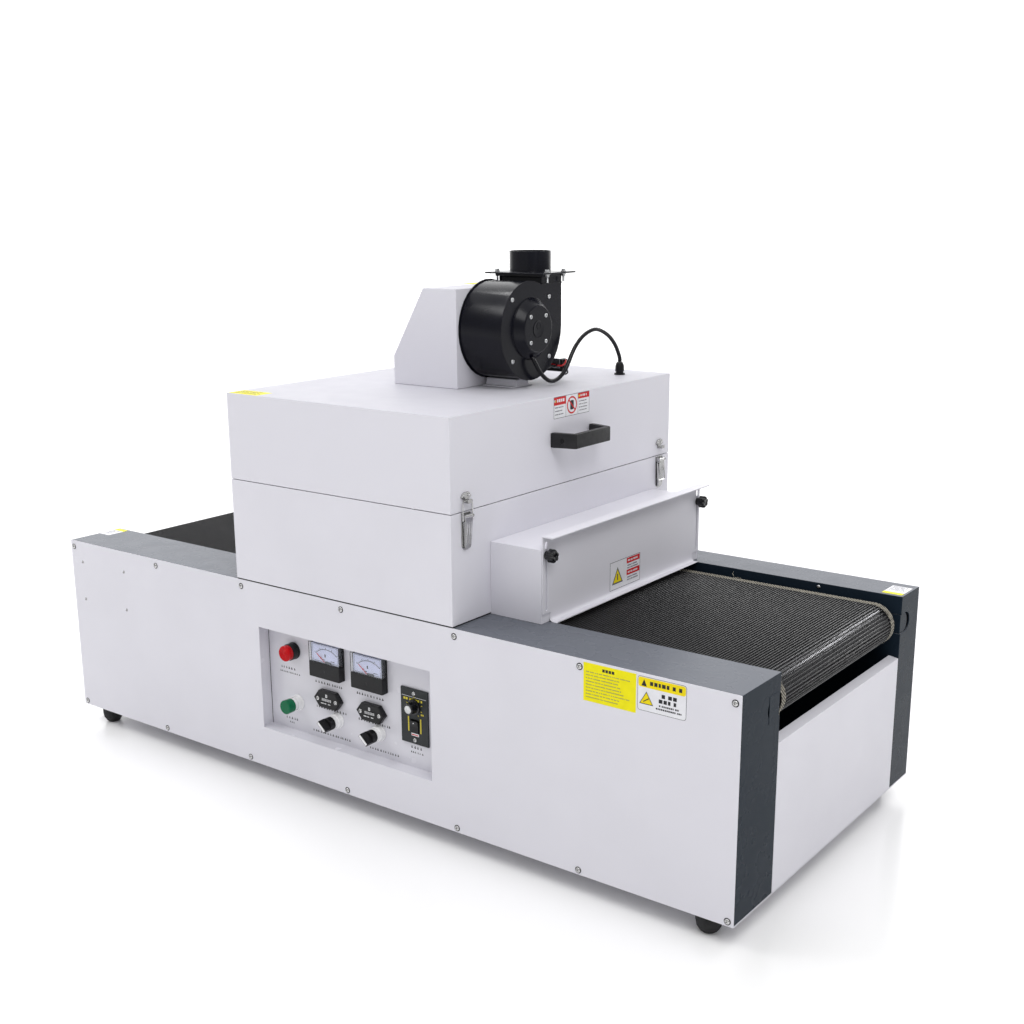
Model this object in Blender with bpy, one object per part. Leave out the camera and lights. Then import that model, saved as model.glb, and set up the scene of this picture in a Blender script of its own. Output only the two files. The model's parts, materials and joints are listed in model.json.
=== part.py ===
"""Benchtop conveyor oven with a hinged lamp hood, as an assembly of separate pieces.

Metres, +Z up. +X is the way out of the tunnel, -Y is the operator's side with the controls.
The origin is on the floor under the middle of the oven.
"""

from math import acos, cos, pi, radians, sin, tau

import bmesh
import bpy
from mathutils import Vector

# Driving dimensions
LENGTH = 1.320
WIDTH = 0.580
FOOT_HEIGHT = 0.030
BODY_HEIGHT = 0.308
NEAR_RAIL_WIDTH = 0.106
FAR_RAIL_WIDTH = 0.070
SHEET = 0.0015
RAIL_SHEET = 0.002
GAP = 0.0003

BOX_X0 = -0.225
BOX_X1 = 0.215
BOX_BOTTOM_GAP = 0.002
LOWER_BOX_HEIGHT = 0.1585
PARTING_GAP = 0.001
LID_HEIGHT = 0.1335

EXIT_HOOD_LENGTH = 0.089
ENTRY_HOOD_LENGTH = 0.074
HOOD_HEIGHT = 0.107
GATE_HEIGHT = 0.1135
GATE_LIP = 0.017

ROLLER_RADIUS = 0.0297
BELT_THICKNESS = 0.001
BELT_TOP = 0.326
BELT_Y0 = -0.170
BELT_Y1 = 0.206
ROLLER_X = 0.624

BLOWER_Y = 0.015
BLOWER_Z = 0.723
BLOWER_X0 = 0.0479
BLOWER_X1 = 0.1262

# Sizes that follow from them
HALF_X = LENGTH / 2
HALF_Y = WIDTH / 2
BODY_BOTTOM = FOOT_HEIGHT
BODY_TOP = FOOT_HEIGHT + BODY_HEIGHT
NEAR_WALL = -HALF_Y + NEAR_RAIL_WIDTH
FAR_WALL = HALF_Y - FAR_RAIL_WIDTH
BELT_MIDDLE = (NEAR_WALL + FAR_WALL) / 2
PANEL_BACK = -HALF_Y + SHEET
PLATE_TOP = BODY_BOTTOM + GAP + SHEET
ROLLER_Z = BELT_TOP - BELT_THICKNESS - GAP - ROLLER_RADIUS
BOX_BOTTOM = BODY_TOP + BOX_BOTTOM_GAP
LOWER_BOX_TOP = BOX_BOTTOM + LOWER_BOX_HEIGHT
LID_BOTTOM = LOWER_BOX_TOP + PARTING_GAP
LID_TOP = LID_BOTTOM + LID_HEIGHT
HOOD_TOP = BODY_TOP + HOOD_HEIGHT
HOOD_Y0 = NEAR_WALL - 0.019
HOOD_Y1 = FAR_WALL + 0.019
GATE_Z0 = BODY_TOP + 0.013
GATE_Z1 = GATE_Z0 + GATE_HEIGHT
STUD_Z = BODY_TOP + 0.099
STUD_Y = (HOOD_Y0 + 0.009, HOOD_Y1 - 0.009)

# The recess for the controls in the front panel
RECESS_X = (-0.1815, 0.171)
RECESS_Z = (BODY_BOTTOM + 0.067, BODY_BOTTOM + 0.236)
RECESS_DEPTH = 0.0238
DECK_Y = -HALF_Y + RECESS_DEPTH
DIAL_Z = BODY_BOTTOM + 0.201
AMMETERS_X = (-0.0515, 0.0365)
HOUR_METERS = ((-0.0525, BODY_BOTTOM + 0.137), (0.0375, BODY_BOTTOM + 0.1365))
SELECTORS = ((-0.0380, BODY_BOTTOM + 0.1055), (0.0490, BODY_BOTTOM + 0.1055))
PILOT_LAMP = (-0.1285, DIAL_Z)
START_BUTTON = (-0.124, BODY_BOTTOM + 0.1155)
SPEED_PLATE = (0.122, BODY_BOTTOM + 0.149)
SPEED_KNOB = (0.1225, BODY_BOTTOM + 0.165)
SPEED_ROCKER = (0.1225, BODY_BOTTOM + 0.134)

INLET = (0.480, BODY_BOTTOM + 0.090)

LATCH_Y = 0.258
LATCH_PIVOT = (BOX_X1 + 0.0058, LOWER_BOX_TOP - 0.0055)
LOOP_LENGTH = 0.028
HINGE_X = BOX_X0 - 0.0055
HINGE_Z = LOWER_BOX_TOP + PARTING_GAP / 2

LEAD_RADIUS = 0.00325
GLAND = (0.155, 0.228)


# Materials

def material(name, colour, roughness, metallic=0.0):
    made = bpy.data.materials.new(name)
    made.use_nodes = True
    shader = made.node_tree.nodes["Principled BSDF"]
    shader.inputs["Base Color"].default_value = (*colour, 1.0)
    shader.inputs["Roughness"].default_value = roughness
    shader.inputs["Metallic"].default_value = metallic
    made.diffuse_color = (*colour, 1.0)
    return made


def make_materials():
    return {
        "white_paint": material("white_paint", (0.62, 0.61, 0.66), 0.45),
        "blue_paint": material("blue_paint", (0.045, 0.055, 0.075), 0.42),
        "black_paint": material("black_paint", (0.012, 0.012, 0.015), 0.35),
        "belt_mesh": material("belt_mesh", (0.018, 0.019, 0.021), 0.5),
        "bare_steel": material("bare_steel", (0.55, 0.55, 0.55), 0.35, 1.0),
        "chrome": material("chrome", (0.75, 0.74, 0.72), 0.15, 1.0),
        "black_plastic": material("black_plastic", (0.014, 0.014, 0.016), 0.4),
        "black_rubber": material("black_rubber", (0.012, 0.012, 0.013), 0.8),
        "red_lens": material("red_lens", (0.55, 0.01, 0.01), 0.15),
        "green_plastic": material("green_plastic", (0.005, 0.25, 0.09), 0.3),
        "mirror_aluminium": material("mirror_aluminium", (0.85, 0.86, 0.88), 0.08, 1.0),
        "lamp_glass": material("lamp_glass", (0.85, 0.88, 0.92), 0.05),
        "cable_jacket": material("cable_jacket", (0.013, 0.013, 0.015), 0.35),
    }


# Modelling tools

def add_object(name, mesh, paint):
    piece = bpy.data.objects.new(name, mesh)
    bpy.context.scene.collection.objects.link(piece)
    if paint is not None:
        mesh.materials.append(paint)
    return piece


def finish_mesh(name, bm, paint, smooth=False):
    bmesh.ops.recalc_face_normals(bm, faces=bm.faces)
    mesh = bpy.data.meshes.new(name)
    bm.to_mesh(mesh)
    bm.free()
    if smooth:
        mesh.shade_smooth()
        mesh.set_sharp_from_angle(angle=radians(35))
    return add_object(name, mesh, paint)


def set_origin(piece, point):
    """Moves the piece's own origin to a point, usually on its joint's axis, and leaves its shape in place."""
    for vertex in piece.data.vertices:
        vertex.co -= Vector(point)
    piece.location = point
    return piece


def add_box(bm, low, high):
    size = [b - a for a, b in zip(low, high)]
    middle = [(a + b) / 2 for a, b in zip(low, high)]
    made = bmesh.ops.create_cube(bm, size=1.0)
    bmesh.ops.scale(bm, vec=size, verts=made["verts"])
    bmesh.ops.translate(bm, vec=middle, verts=made["verts"])


def add_rod(bm, start, end, radius, steps=16):
    """A cylinder from one point to another along X, Y or Z."""
    along = Vector(end) - Vector(start)
    made = bmesh.ops.create_cone(
        bm, cap_ends=True, segments=steps, radius1=radius, radius2=radius, depth=along.length
    )
    turn = Vector((0, 0, 1)).rotation_difference(along)
    bmesh.ops.rotate(bm, cent=(0, 0, 0), matrix=turn.to_matrix(), verts=made["verts"])
    bmesh.ops.translate(bm, vec=(Vector(start) + Vector(end)) / 2, verts=made["verts"])


def add_loft(bm, sections):
    """A closed solid through rings of points; every ring has the same number of points."""
    rings = [[bm.verts.new(point) for point in section] for section in sections]
    count = len(rings[0])
    for ring, following in zip(rings, rings[1:]):
        for i in range(count):
            j = (i + 1) % count
            bm.faces.new((ring[i], ring[j], following[j], following[i]))
    bm.faces.new(rings[0])
    bm.faces.new(rings[-1])


def box(name, low, high, paint):
    bm = bmesh.new()
    add_box(bm, low, high)
    return finish_mesh(name, bm, paint)


def loft(name, sections, paint, smooth=False):
    bm = bmesh.new()
    add_loft(bm, sections)
    return finish_mesh(name, bm, paint, smooth)


def place(axis, along, u, v):
    """A point from its place along an axis and its two other coordinates, in X, Y, Z order."""
    if axis == "X":
        return (along, u, v)
    if axis == "Y":
        return (u, along, v)
    return (u, v, along)


def prism(axis, start, end, outline):
    return [[place(axis, along, u, v) for u, v in outline] for along in (start, end)]


def rectangle(u0, u1, v0, v1):
    return [(u0, v0), (u1, v0), (u1, v1), (u0, v1)]


def centred(middle, width, height):
    u, v = middle
    return rectangle(u - width / 2, u + width / 2, v - height / 2, v + height / 2)


def circle(middle, radius, steps=24, lobes=0, depth=0.0):
    points = []
    for step in range(steps):
        angle = tau * (step + 0.5) / steps
        reach = radius * (1 + depth * cos(lobes * angle))
        points.append((middle[0] + reach * cos(angle), middle[1] + reach * sin(angle)))
    return points


def turned(name, axis, middle, profile, paint, steps=24):
    """A turned piece: profile is a list of (place along the axis, radius)."""
    sections = [
        [place(axis, along, u, v) for u, v in circle(middle, radius, steps)] for along, radius in profile
    ]
    return loft(name, sections, paint, smooth=True)


def cutter(name, build):
    """A hidden tool shape for a Boolean."""
    bm = bmesh.new()
    build(bm)
    tool = finish_mesh(name, bm, None)
    tool.hide_render = True
    tool.display_type = "WIRE"
    return tool


def apply_tool(piece, operation, build):
    tool = cutter(f"{piece.name}_{operation.lower()}_{len(piece.modifiers)}", build)
    modifier = piece.modifiers.new(tool.name, "BOOLEAN")
    modifier.operation = operation
    modifier.solver = "EXACT"
    modifier.object = tool


def cut(piece, build):
    apply_tool(piece, "DIFFERENCE", build)


def join(piece, build):
    apply_tool(piece, "UNION", build)


def cut_box(piece, low, high):
    cut(piece, lambda bm: add_box(bm, low, high))


# The body

def make_rail(name, wall_y, outer_y, paint):
    """A folded rail: top, inner wall and two ends, open at the outside and at the bottom."""
    outward = 1 if outer_y > wall_y else -1
    skin = outward * RAIL_SHEET
    low_y, high_y = sorted((wall_y, outer_y))
    rail = box(name, (-HALF_X, low_y, PLATE_TOP + GAP), (HALF_X, high_y, BODY_TOP), paint)
    inner = sorted((wall_y + skin, outer_y + outward * 0.01))
    inner_x = HALF_X - RAIL_SHEET
    cut_box(rail, (-inner_x, inner[0], 0.0), (inner_x, inner[1], BODY_TOP - RAIL_SHEET))
    slot_end = wall_y + outward * 0.019
    slot_y = sorted((wall_y - outward * 0.005, slot_end))

    def axle_slots(bm):
        for side in (-1, 1):
            slot_x = sorted((side * (ROLLER_X - 0.015), side * (HALF_X + 0.01)))
            add_box(bm, (slot_x[0], slot_y[0], ROLLER_Z - 0.015), (slot_x[1], slot_y[1], ROLLER_Z + 0.015))

    def slot_ends(bm):
        for side in (-1, 1):
            start = (side * (HALF_X - 0.005), slot_end, ROLLER_Z)
            add_rod(bm, start, (side * (HALF_X + 0.005), slot_end, ROLLER_Z), 0.015, 20)

    cut(rail, axle_slots)
    cut(rail, slot_ends)
    return rail


def make_panels(paint):
    front = box("front_panel", (-HALF_X, -HALF_Y, BODY_BOTTOM), (HALF_X, PANEL_BACK, BODY_TOP), paint)
    cut_box(front, (RECESS_X[0], -0.3, RECESS_Z[0]), (RECESS_X[1], -0.28, RECESS_Z[1]))
    rear = box("rear_panel", (-HALF_X, -PANEL_BACK, BODY_BOTTOM), (HALF_X, HALF_Y, BODY_TOP), paint)
    x, z = INLET
    cut_box(rear, (x - 0.0140, 0.28, z - 0.0105), (x + 0.0140, 0.30, z + 0.0105))
    inset = SHEET + GAP
    box(
        "bottom_plate",
        (-HALF_X, -HALF_Y + inset, BODY_BOTTOM + GAP),
        (HALF_X, HALF_Y - inset, PLATE_TOP),
        paint,
    )


def make_end_panel(name, side, paint):
    """A flat sheet between the rails, folded inwards along its top edge."""
    outer = side * HALF_X
    inner = side * (HALF_X - SHEET)
    lip = side * (HALF_X - 0.015)
    crease = BODY_BOTTOM + 0.212
    outline = [
        (outer, PLATE_TOP + GAP),
        (outer, crease),
        (lip, crease + 0.0025),
        (lip, crease + 0.0025 - SHEET),
        (inner, crease - SHEET),
        (inner, PLATE_TOP + GAP),
    ]
    loft(name, prism("Y", NEAR_WALL + GAP, FAR_WALL - GAP, outline), paint)


def make_foot(name, x, y, paint):
    profile = [
        (0.0, 0.0095),
        (0.0025, 0.0125),
        (0.009, 0.0165),
        (0.017, 0.018),
        (FOOT_HEIGHT - 0.0001, 0.018),
    ]
    turned(name, "Z", (x, y), profile, paint, steps=20)


def make_control_panel(paint):
    """The folded tray behind the front panel's opening, with a cut-out behind every instrument."""
    rim = PANEL_BACK + GAP
    floor_back = DECK_Y + SHEET
    x0, x1 = RECESS_X[0] - 0.004, RECESS_X[1]
    z0, z1 = RECESS_Z
    tray = box(
        "control_panel",
        (x0 - SHEET, rim, z0 - SHEET),
        (x1 + SHEET, floor_back, z1 + SHEET),
        paint,
    )
    cut_box(tray, (x0, -0.3, z0), (x1, DECK_Y, z1))
    through = (DECK_Y - 0.002, floor_back + 0.002)

    def openings(bm):
        for x in AMMETERS_X:
            add_box(bm, (x - 0.0235, through[0], DIAL_Z - 0.0205), (x + 0.0235, through[1], DIAL_Z + 0.0205))
        for x, z in HOUR_METERS:
            add_box(bm, (x - 0.0125, through[0], z - 0.0105), (x + 0.0125, through[1], z + 0.0105))
        x, z = SPEED_PLATE
        add_box(bm, (x - 0.0215, through[0], z - 0.0345), (x + 0.0215, through[1], z + 0.0345))
        for x, z in (*SELECTORS, PILOT_LAMP, START_BUTTON):
            add_rod(bm, (x, through[0], z), (x, through[1], z), 0.0112, 16)

    cut(tray, openings)


# The conveyor

def make_belt_bed(paint):
    """The slider bed under the belt: a flat table with a step down to a flange on each rail."""
    top = BELT_TOP - BELT_THICKNESS - GAP
    low = ROLLER_Z + 0.005
    skin = RAIL_SHEET
    y0, y1 = BELT_Y0 + 0.004, BELT_Y1 - 0.004
    wall0, wall1 = NEAR_WALL + GAP, FAR_WALL - GAP
    outline = [
        (wall0, low),
        (wall0, low + skin),
        (y0, low + skin),
        (y0, top),
        (y1, top),
        (y1, low + skin),
        (wall1, low + skin),
        (wall1, low),
        (y1 - skin, low),
        (y1 - skin, top - skin),
        (y0 + skin, top - skin),
        (y0 + skin, low),
    ]
    loft("belt_bed", prism("X", -0.575, 0.575, outline), paint)


def belt_outline(radius):
    points = []
    steps = 12
    for side in (1, -1):
        for step in range(steps + 1):
            angle = side * pi / 2 - pi * step / steps
            points.append((side * ROLLER_X + radius * cos(angle), ROLLER_Z + radius * sin(angle)))
    return points


def make_belt(paint):
    inner = belt_outline(ROLLER_RADIUS + GAP)
    outer = belt_outline(ROLLER_RADIUS + GAP + BELT_THICKNESS)
    bm = bmesh.new()
    rings = []
    for y, outline in ((BELT_Y0, inner), (BELT_Y0, outer), (BELT_Y1, outer), (BELT_Y1, inner)):
        rings.append([bm.verts.new((x, y, z)) for x, z in outline])
    for ring, following in zip(rings, rings[1:] + rings[:1]):
        for i in range(len(ring)):
            j = (i + 1) % len(ring)
            bm.faces.new((ring[i], ring[j], following[j], following[i]))
    finish_mesh("conveyor_belt", bm, paint, smooth=True)


def make_roller(name, x, has_sprocket, paint):
    shaft = 0.0075
    start = NEAR_WALL - 0.048
    profile = [(start, shaft)]
    if has_sprocket:
        profile += [
            (NEAR_WALL - 0.030, shaft),
            (NEAR_WALL - 0.030, 0.020),
            (NEAR_WALL - 0.024, 0.020),
            (NEAR_WALL - 0.024, shaft),
        ]
    profile += [
        (BELT_Y0 - 0.003, shaft),
        (BELT_Y0 - 0.003, ROLLER_RADIUS),
        (BELT_Y1 + 0.003, ROLLER_RADIUS),
        (BELT_Y1 + 0.003, shaft),
        (FAR_WALL + 0.042, shaft),
    ]
    roller = turned(name, "Y", (x, ROLLER_Z), profile, paint, steps=28)
    set_origin(roller, (x, BELT_MIDDLE, ROLLER_Z))


def make_drive_motor(paint, steel):
    """A geared motor in the near rail, and the sprocket on its shaft."""
    x, z = -0.5725, BODY_BOTTOM + 0.2375
    body_end = NEAR_WALL - 0.040
    motor = loft(
        "drive_motor",
        prism("Y", body_end - 0.030, body_end, centred((x, z), 0.060, 0.060)),
        paint,
    )
    join(motor, lambda bm: add_rod(bm, (x, PANEL_BACK + 0.004, z), (x, body_end - 0.029, z), 0.028, 24))
    face = body_end + GAP
    profile = [
        (face, 0.005),
        (NEAR_WALL - 0.0305, 0.005),
        (NEAR_WALL - 0.0305, 0.0125),
        (NEAR_WALL - 0.0240, 0.0125),
    ]
    sprocket = turned("motor_sprocket", "Y", (x, z), profile, steel, steps=20)
    set_origin(sprocket, (x, NEAR_WALL - 0.027, z))


def make_mains_inlet(paint):
    """The socket for the mains lead in the rear panel."""
    x, z = INLET
    sections = []
    for y, width, height in (
        (HALF_Y + 0.0135, 0.0440, 0.0260),
        (HALF_Y + 0.0120, 0.0480, 0.0290),
        (HALF_Y + GAP, 0.0480, 0.0290),
        (HALF_Y + GAP, 0.0274, 0.0204),
        (HALF_Y - 0.028, 0.0274, 0.0204),
    ):
        sections.append([place("Y", y, u, v) for u, v in centred((x, z), width, height)])
    inlet = loft("mains_inlet", sections, paint)
    cut_box(inlet, (x - 0.0120, HALF_Y - 0.006, z - 0.0080), (x + 0.0120, HALF_Y + 0.020, z + 0.0080))


def make_ballast(paint):
    bottom = PLATE_TOP + GAP
    box("lamp_ballast", (-0.075, -0.035, bottom), (0.075, 0.055, bottom + 0.080), paint)


# The lamp box

def make_lower_housing(paint):
    housing = box(
        "lower_housing", (BOX_X0, -HALF_Y, BOX_BOTTOM), (BOX_X1, HALF_Y, LOWER_BOX_TOP), paint
    )
    inset = SHEET
    cut_box(
        housing,
        (BOX_X0 + inset, -HALF_Y + inset, BOX_BOTTOM + inset),
        (BOX_X1 - inset, HALF_Y - inset, LOWER_BOX_TOP + 0.01),
    )
    cut_box(
        housing,
        (BOX_X0 - 0.01, NEAR_WALL + 0.002, BOX_BOTTOM - 0.01),
        (BOX_X1 + 0.01, FAR_WALL - 0.002, HOOD_TOP - 0.015),
    )


def make_hood(name, side, box_face, length, paint):
    """The tunnel's mouth: open below and towards the lamp box, with a flange round the way out."""
    root = box_face + side * GAP
    end = box_face + side * length
    x0, x1 = sorted((root, end))
    bottom = BODY_TOP + GAP
    hood = box(name, (x0, HOOD_Y0, bottom), (x1, HOOD_Y1, HOOD_TOP), paint)
    hollow = sorted((box_face - side * 0.01, end - side * SHEET))
    cut_box(
        hood,
        (hollow[0], HOOD_Y0 + SHEET, bottom - 0.01),
        (hollow[1], HOOD_Y1 - SHEET, HOOD_TOP - SHEET),
    )
    mouth = sorted((end - side * 0.01, end + side * 0.01))
    cut_box(
        hood,
        (mouth[0], NEAR_WALL + 0.001, bottom - 0.01),
        (mouth[1], FAR_WALL - 0.001, HOOD_TOP - 0.013),
    )

    def stud_holes(bm):
        for y in STUD_Y:
            add_rod(bm, (mouth[0], y, STUD_Z), (mouth[1], y, STUD_Z), 0.0030, 12)

    cut(hood, stud_holes)


def make_gate(name, side, hood_face, paint):
    """A sliding gate with folded lips at top and bottom and a slot for each clamp screw."""
    back = hood_face + side * GAP
    face = back + side * SHEET
    lip = face + side * GATE_LIP
    fold = 0.012
    outline = [
        (back, GATE_Z1),
        (lip, GATE_Z1),
        (lip, GATE_Z1 - SHEET),
        (face, GATE_Z1 - SHEET),
        (face, GATE_Z0),
        (face + side * fold, GATE_Z0 - fold),
        (face + side * (fold - 0.0011), GATE_Z0 - fold - 0.0011),
        (back, GATE_Z0 - 0.0006),
    ]
    gate = loft(name, prism("Y", HOOD_Y0 + 0.001, HOOD_Y1 - 0.001, outline), paint)
    reach = sorted((back - side * 0.005, lip + side * 0.005))

    def corners(bm):
        for y0, y1 in ((HOOD_Y0 - 0.01, NEAR_WALL + 0.002), (FAR_WALL - 0.002, HOOD_Y1 + 0.01)):
            add_box(bm, (reach[0], y0, GATE_Z0 - 0.03), (reach[1], y1, GATE_Z0))

    def slots(bm):
        radius = 0.003
        for y in STUD_Y:
            slot = []
            for start, z in ((0, GATE_Z1 - 0.0115), (pi, GATE_Z0 + 0.008)):
                for step in range(5):
                    angle = start + pi * step / 4
                    slot.append((y + radius * cos(angle), z + radius * sin(angle)))
            add_loft(bm, prism("X", face - side * 0.006, face + side * 0.006, slot))

    cut(gate, corners)
    cut(gate, slots)


def make_gate_knob(name, side, hood_face, y, paint):
    """A star knob with its clamp screw, which passes through the gate's slot into the hood."""
    start = hood_face - side * 0.008
    base = hood_face + side * (2 * GAP + SHEET)
    sections = []
    for along, radius, depth in (
        (start, 0.0022, 0.0),
        (base, 0.0022, 0.0),
        (base, 0.0060, 0.0),
        (base + side * 0.004, 0.0060, 0.0),
        (base + side * 0.004, 0.0090, 0.14),
        (base + side * 0.014, 0.0090, 0.14),
        (base + side * 0.016, 0.0072, 0.10),
    ):
        outline = circle((y, STUD_Z), radius, 30, 6, depth)
        sections.append([place("X", along, u, v) for u, v in outline])
    knob = loft(name, sections, paint, smooth=True)
    set_origin(knob, (base, y, STUD_Z))


def make_lid(paint):
    lid = box("lid", (BOX_X0, -HALF_Y, LID_BOTTOM), (BOX_X1, HALF_Y, LID_TOP), paint)
    cut_box(
        lid,
        (BOX_X0 + SHEET, -HALF_Y + SHEET, LID_BOTTOM - 0.01),
        (BOX_X1 - SHEET, HALF_Y - SHEET, LID_TOP - SHEET),
    )
    cut_box(lid, (-0.060, -0.050, LID_TOP - 0.01), (0.030, 0.086, LID_TOP + 0.01))
    return lid


def make_reflector(paint):
    """One bright sheet folded into two elliptical troughs, one over each lamp."""
    outer, inner = [], []
    steps = 14
    for middle in (-0.105, 0.095):
        for step in range(steps + 1):
            angle = pi - pi * step / steps
            outer.append((middle + 0.084 * cos(angle), 0.512 + 0.085 * sin(angle)))
            inner.append((middle + 0.083 * cos(angle), 0.512 + 0.084 * sin(angle)))
    outline = outer + inner[::-1]
    loft("lamp_reflector", prism("Y", BELT_MIDDLE - 0.215, BELT_MIDDLE + 0.215, outline), paint, True)


def make_lamp(name, x, paint):
    z = 0.545
    profile = [
        (BELT_MIDDLE - 0.212, 0.008),
        (BELT_MIDDLE - 0.188, 0.008),
        (BELT_MIDDLE - 0.184, 0.011),
        (BELT_MIDDLE + 0.184, 0.011),
        (BELT_MIDDLE + 0.188, 0.008),
        (BELT_MIDDLE + 0.212, 0.008),
    ]
    turned(name, "Y", (x, z), profile, paint, steps=16)


def make_lid_handle(paint):
    """A bridge handle with legs that lean inwards and bevelled edges."""
    face = BOX_X1 + GAP
    front = face + 0.040
    outline = [
        (face, -0.0560),
        (face + 0.006, -0.0560),
        (front - 0.003, -0.0480),
        (front, -0.0450),
        (front, 0.0450),
        (front - 0.003, 0.0480),
        (face + 0.006, 0.0560),
        (face, 0.0560),
        (face, 0.0460),
        (front - 0.0085, 0.0400),
        (front - 0.0085, -0.0400),
        (face, -0.0460),
    ]
    z0, z1 = 0.558, 0.580
    handle = loft("lid_handle", prism("Z", z0, z1, outline), paint)
    bevel = handle.modifiers.new("rounded_edges", "BEVEL")
    bevel.width = 0.0012
    bevel.segments = 2
    bevel.limit_method = "ANGLE"
    bevel.angle_limit = radians(50)


# Latches and hinge

def make_latch_lever(index, side, steel):
    """The latch's lever: a tapered channel that gets thinner towards its rounded free end."""
    y = side * LATCH_Y
    top = LATCH_PIVOT[1] + 0.0030
    back = BOX_X1 + 0.0016
    sections = []
    for drop, width, thick in (
        (0.0000, 0.0165, 0.0052),
        (0.0120, 0.0160, 0.0050),
        (0.0180, 0.0148, 0.0046),
        (0.0450, 0.0136, 0.0030),
        (0.0480, 0.0110, 0.0028),
        (0.0490, 0.0070, 0.0026),
    ):
        outline = rectangle(back, back + thick, y - width / 2, y + width / 2)
        sections.append([(px, py, top - drop) for px, py in outline])
    lever = loft(f"latch_lever_{index}", sections, steel)
    set_origin(lever, (LATCH_PIVOT[0], y, LATCH_PIVOT[1]))


def make_latch_loop(index, side, raised, steel):
    """The latch's wire loop: two legs outside the lever, with their ends turned in towards it."""
    y = side * LATCH_Y
    wire, half_width, corner, turned_in = 0.0011, 0.0105, 0.0030, 0.0086
    pivot = (BOX_X1 + 0.0042, y, LATCH_PIVOT[1] - 0.0065)
    lean = -0.0004 if raised else 0.0022
    upright = 1 if raised else -1
    leg = [(turned_in, 0.0), (half_width - 0.0008, 0.0), (half_width, 0.0008)]
    for step in range(5):
        angle = pi / 2 * step / 4
        reach = half_width - corner + corner * cos(angle)
        leg.append((reach, LOOP_LENGTH - corner + corner * sin(angle)))
    outline = leg + [(-u, v) for u, v in reversed(leg)]
    curve = bpy.data.curves.new(f"latch_loop_{index}", "CURVE")
    curve.dimensions = "3D"
    curve.bevel_depth = wire
    curve.bevel_resolution = 1
    curve.use_fill_caps = True
    spline = curve.splines.new("POLY")
    spline.points.add(len(outline) - 1)
    for point, (u, v) in zip(spline.points, outline):
        point.co = (lean * v / LOOP_LENGTH, u, upright * v, 1.0)
    loop = bpy.data.objects.new(f"latch_loop_{index}", curve)
    loop.location = pivot
    bpy.context.scene.collection.objects.link(loop)
    curve.materials.append(steel)


def make_keeper(index, side, steel):
    """The catch on the lid: the wire loop is lifted over its turned-up lip."""
    y = side * LATCH_Y
    back = BOX_X1 + GAP
    arm = LID_BOTTOM + 0.012
    half = [(0.0052, arm), (0.0055, arm + 0.0050), (0.0110, arm + 0.0075), (0.0108, arm + 0.0092)]
    half += [(0.0080, arm + 0.0130), (0.0040, arm + 0.0149)]
    outline = [(y + u, z) for u, z in half] + [(y - u, z) for u, z in reversed(half)]
    keeper = loft(f"latch_keeper_{index}", prism("X", back, back + 0.0015, outline), steel)
    front = BOX_X1 + 0.0088
    hook = [
        (back + 0.0005, arm),
        (front, arm),
        (front, arm + 0.0055),
        (front - 0.0016, arm + 0.0055),
        (front - 0.0016, arm + 0.0015),
        (back + 0.0005, arm + 0.0015),
    ]
    join(keeper, lambda bm: add_loft(bm, prism("Y", y - 0.0045, y + 0.0045, hook)))


def make_hinge_leaf(name, upper, paint):
    """One leaf of the long back hinge, with its own share of the knuckles."""
    leaf_x = (BOX_X0 - GAP - 0.0015, BOX_X0 - GAP)
    z0, z1 = (HINGE_Z + 0.0008, HINGE_Z + 0.026) if upper else (HINGE_Z - 0.026, HINGE_Z - 0.0008)
    half_length, radius = 0.230, 0.0034
    knuckles = 7
    pitch = 2 * half_length / knuckles
    leaf = box(name, (leaf_x[0], -half_length, z0), (leaf_x[1], half_length, z1), paint)
    kept = [k for k in range(knuckles) if (k % 2 == 1) == upper]
    spans = [(-half_length + k * pitch + 0.0006, -half_length + (k + 1) * pitch - 0.0006) for k in kept]
    others = [k for k in range(knuckles) if k not in kept]
    notches = [(-half_length + k * pitch - 0.0006, -half_length + (k + 1) * pitch + 0.0006) for k in others]
    edge = (z0 - 0.001, z0 + 0.0045) if upper else (z1 - 0.0045, z1 + 0.001)

    def knuckle_rods(bm):
        for y0, y1 in spans:
            add_rod(bm, (HINGE_X, y0, HINGE_Z), (HINGE_X, y1, HINGE_Z), radius, 16)

    def webs(bm):
        bottom, top = (z0, z0 + 0.003) if upper else (z1 - 0.003, z1)
        for y0, y1 in spans:
            add_box(bm, (HINGE_X, y0, bottom), (leaf_x[0] + 0.0005, y1, top))

    def relief(bm):
        for y0, y1 in notches:
            add_box(bm, (leaf_x[0] - 0.001, y0, edge[0]), (leaf_x[1] + 0.001, y1, edge[1]))

    def pin_bore(bm):
        add_rod(bm, (HINGE_X, -0.24, HINGE_Z), (HINGE_X, 0.24, HINGE_Z), 0.0018, 12)

    def pin(bm):
        add_rod(bm, (HINGE_X, -half_length, HINGE_Z), (HINGE_X, half_length, HINGE_Z), 0.0015, 12)

    cut(leaf, relief)
    join(leaf, webs)
    join(leaf, knuckle_rods)
    if upper:
        cut(leaf, pin_bore)
    else:
        join(leaf, pin)
    return leaf


# The extraction fan

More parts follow.
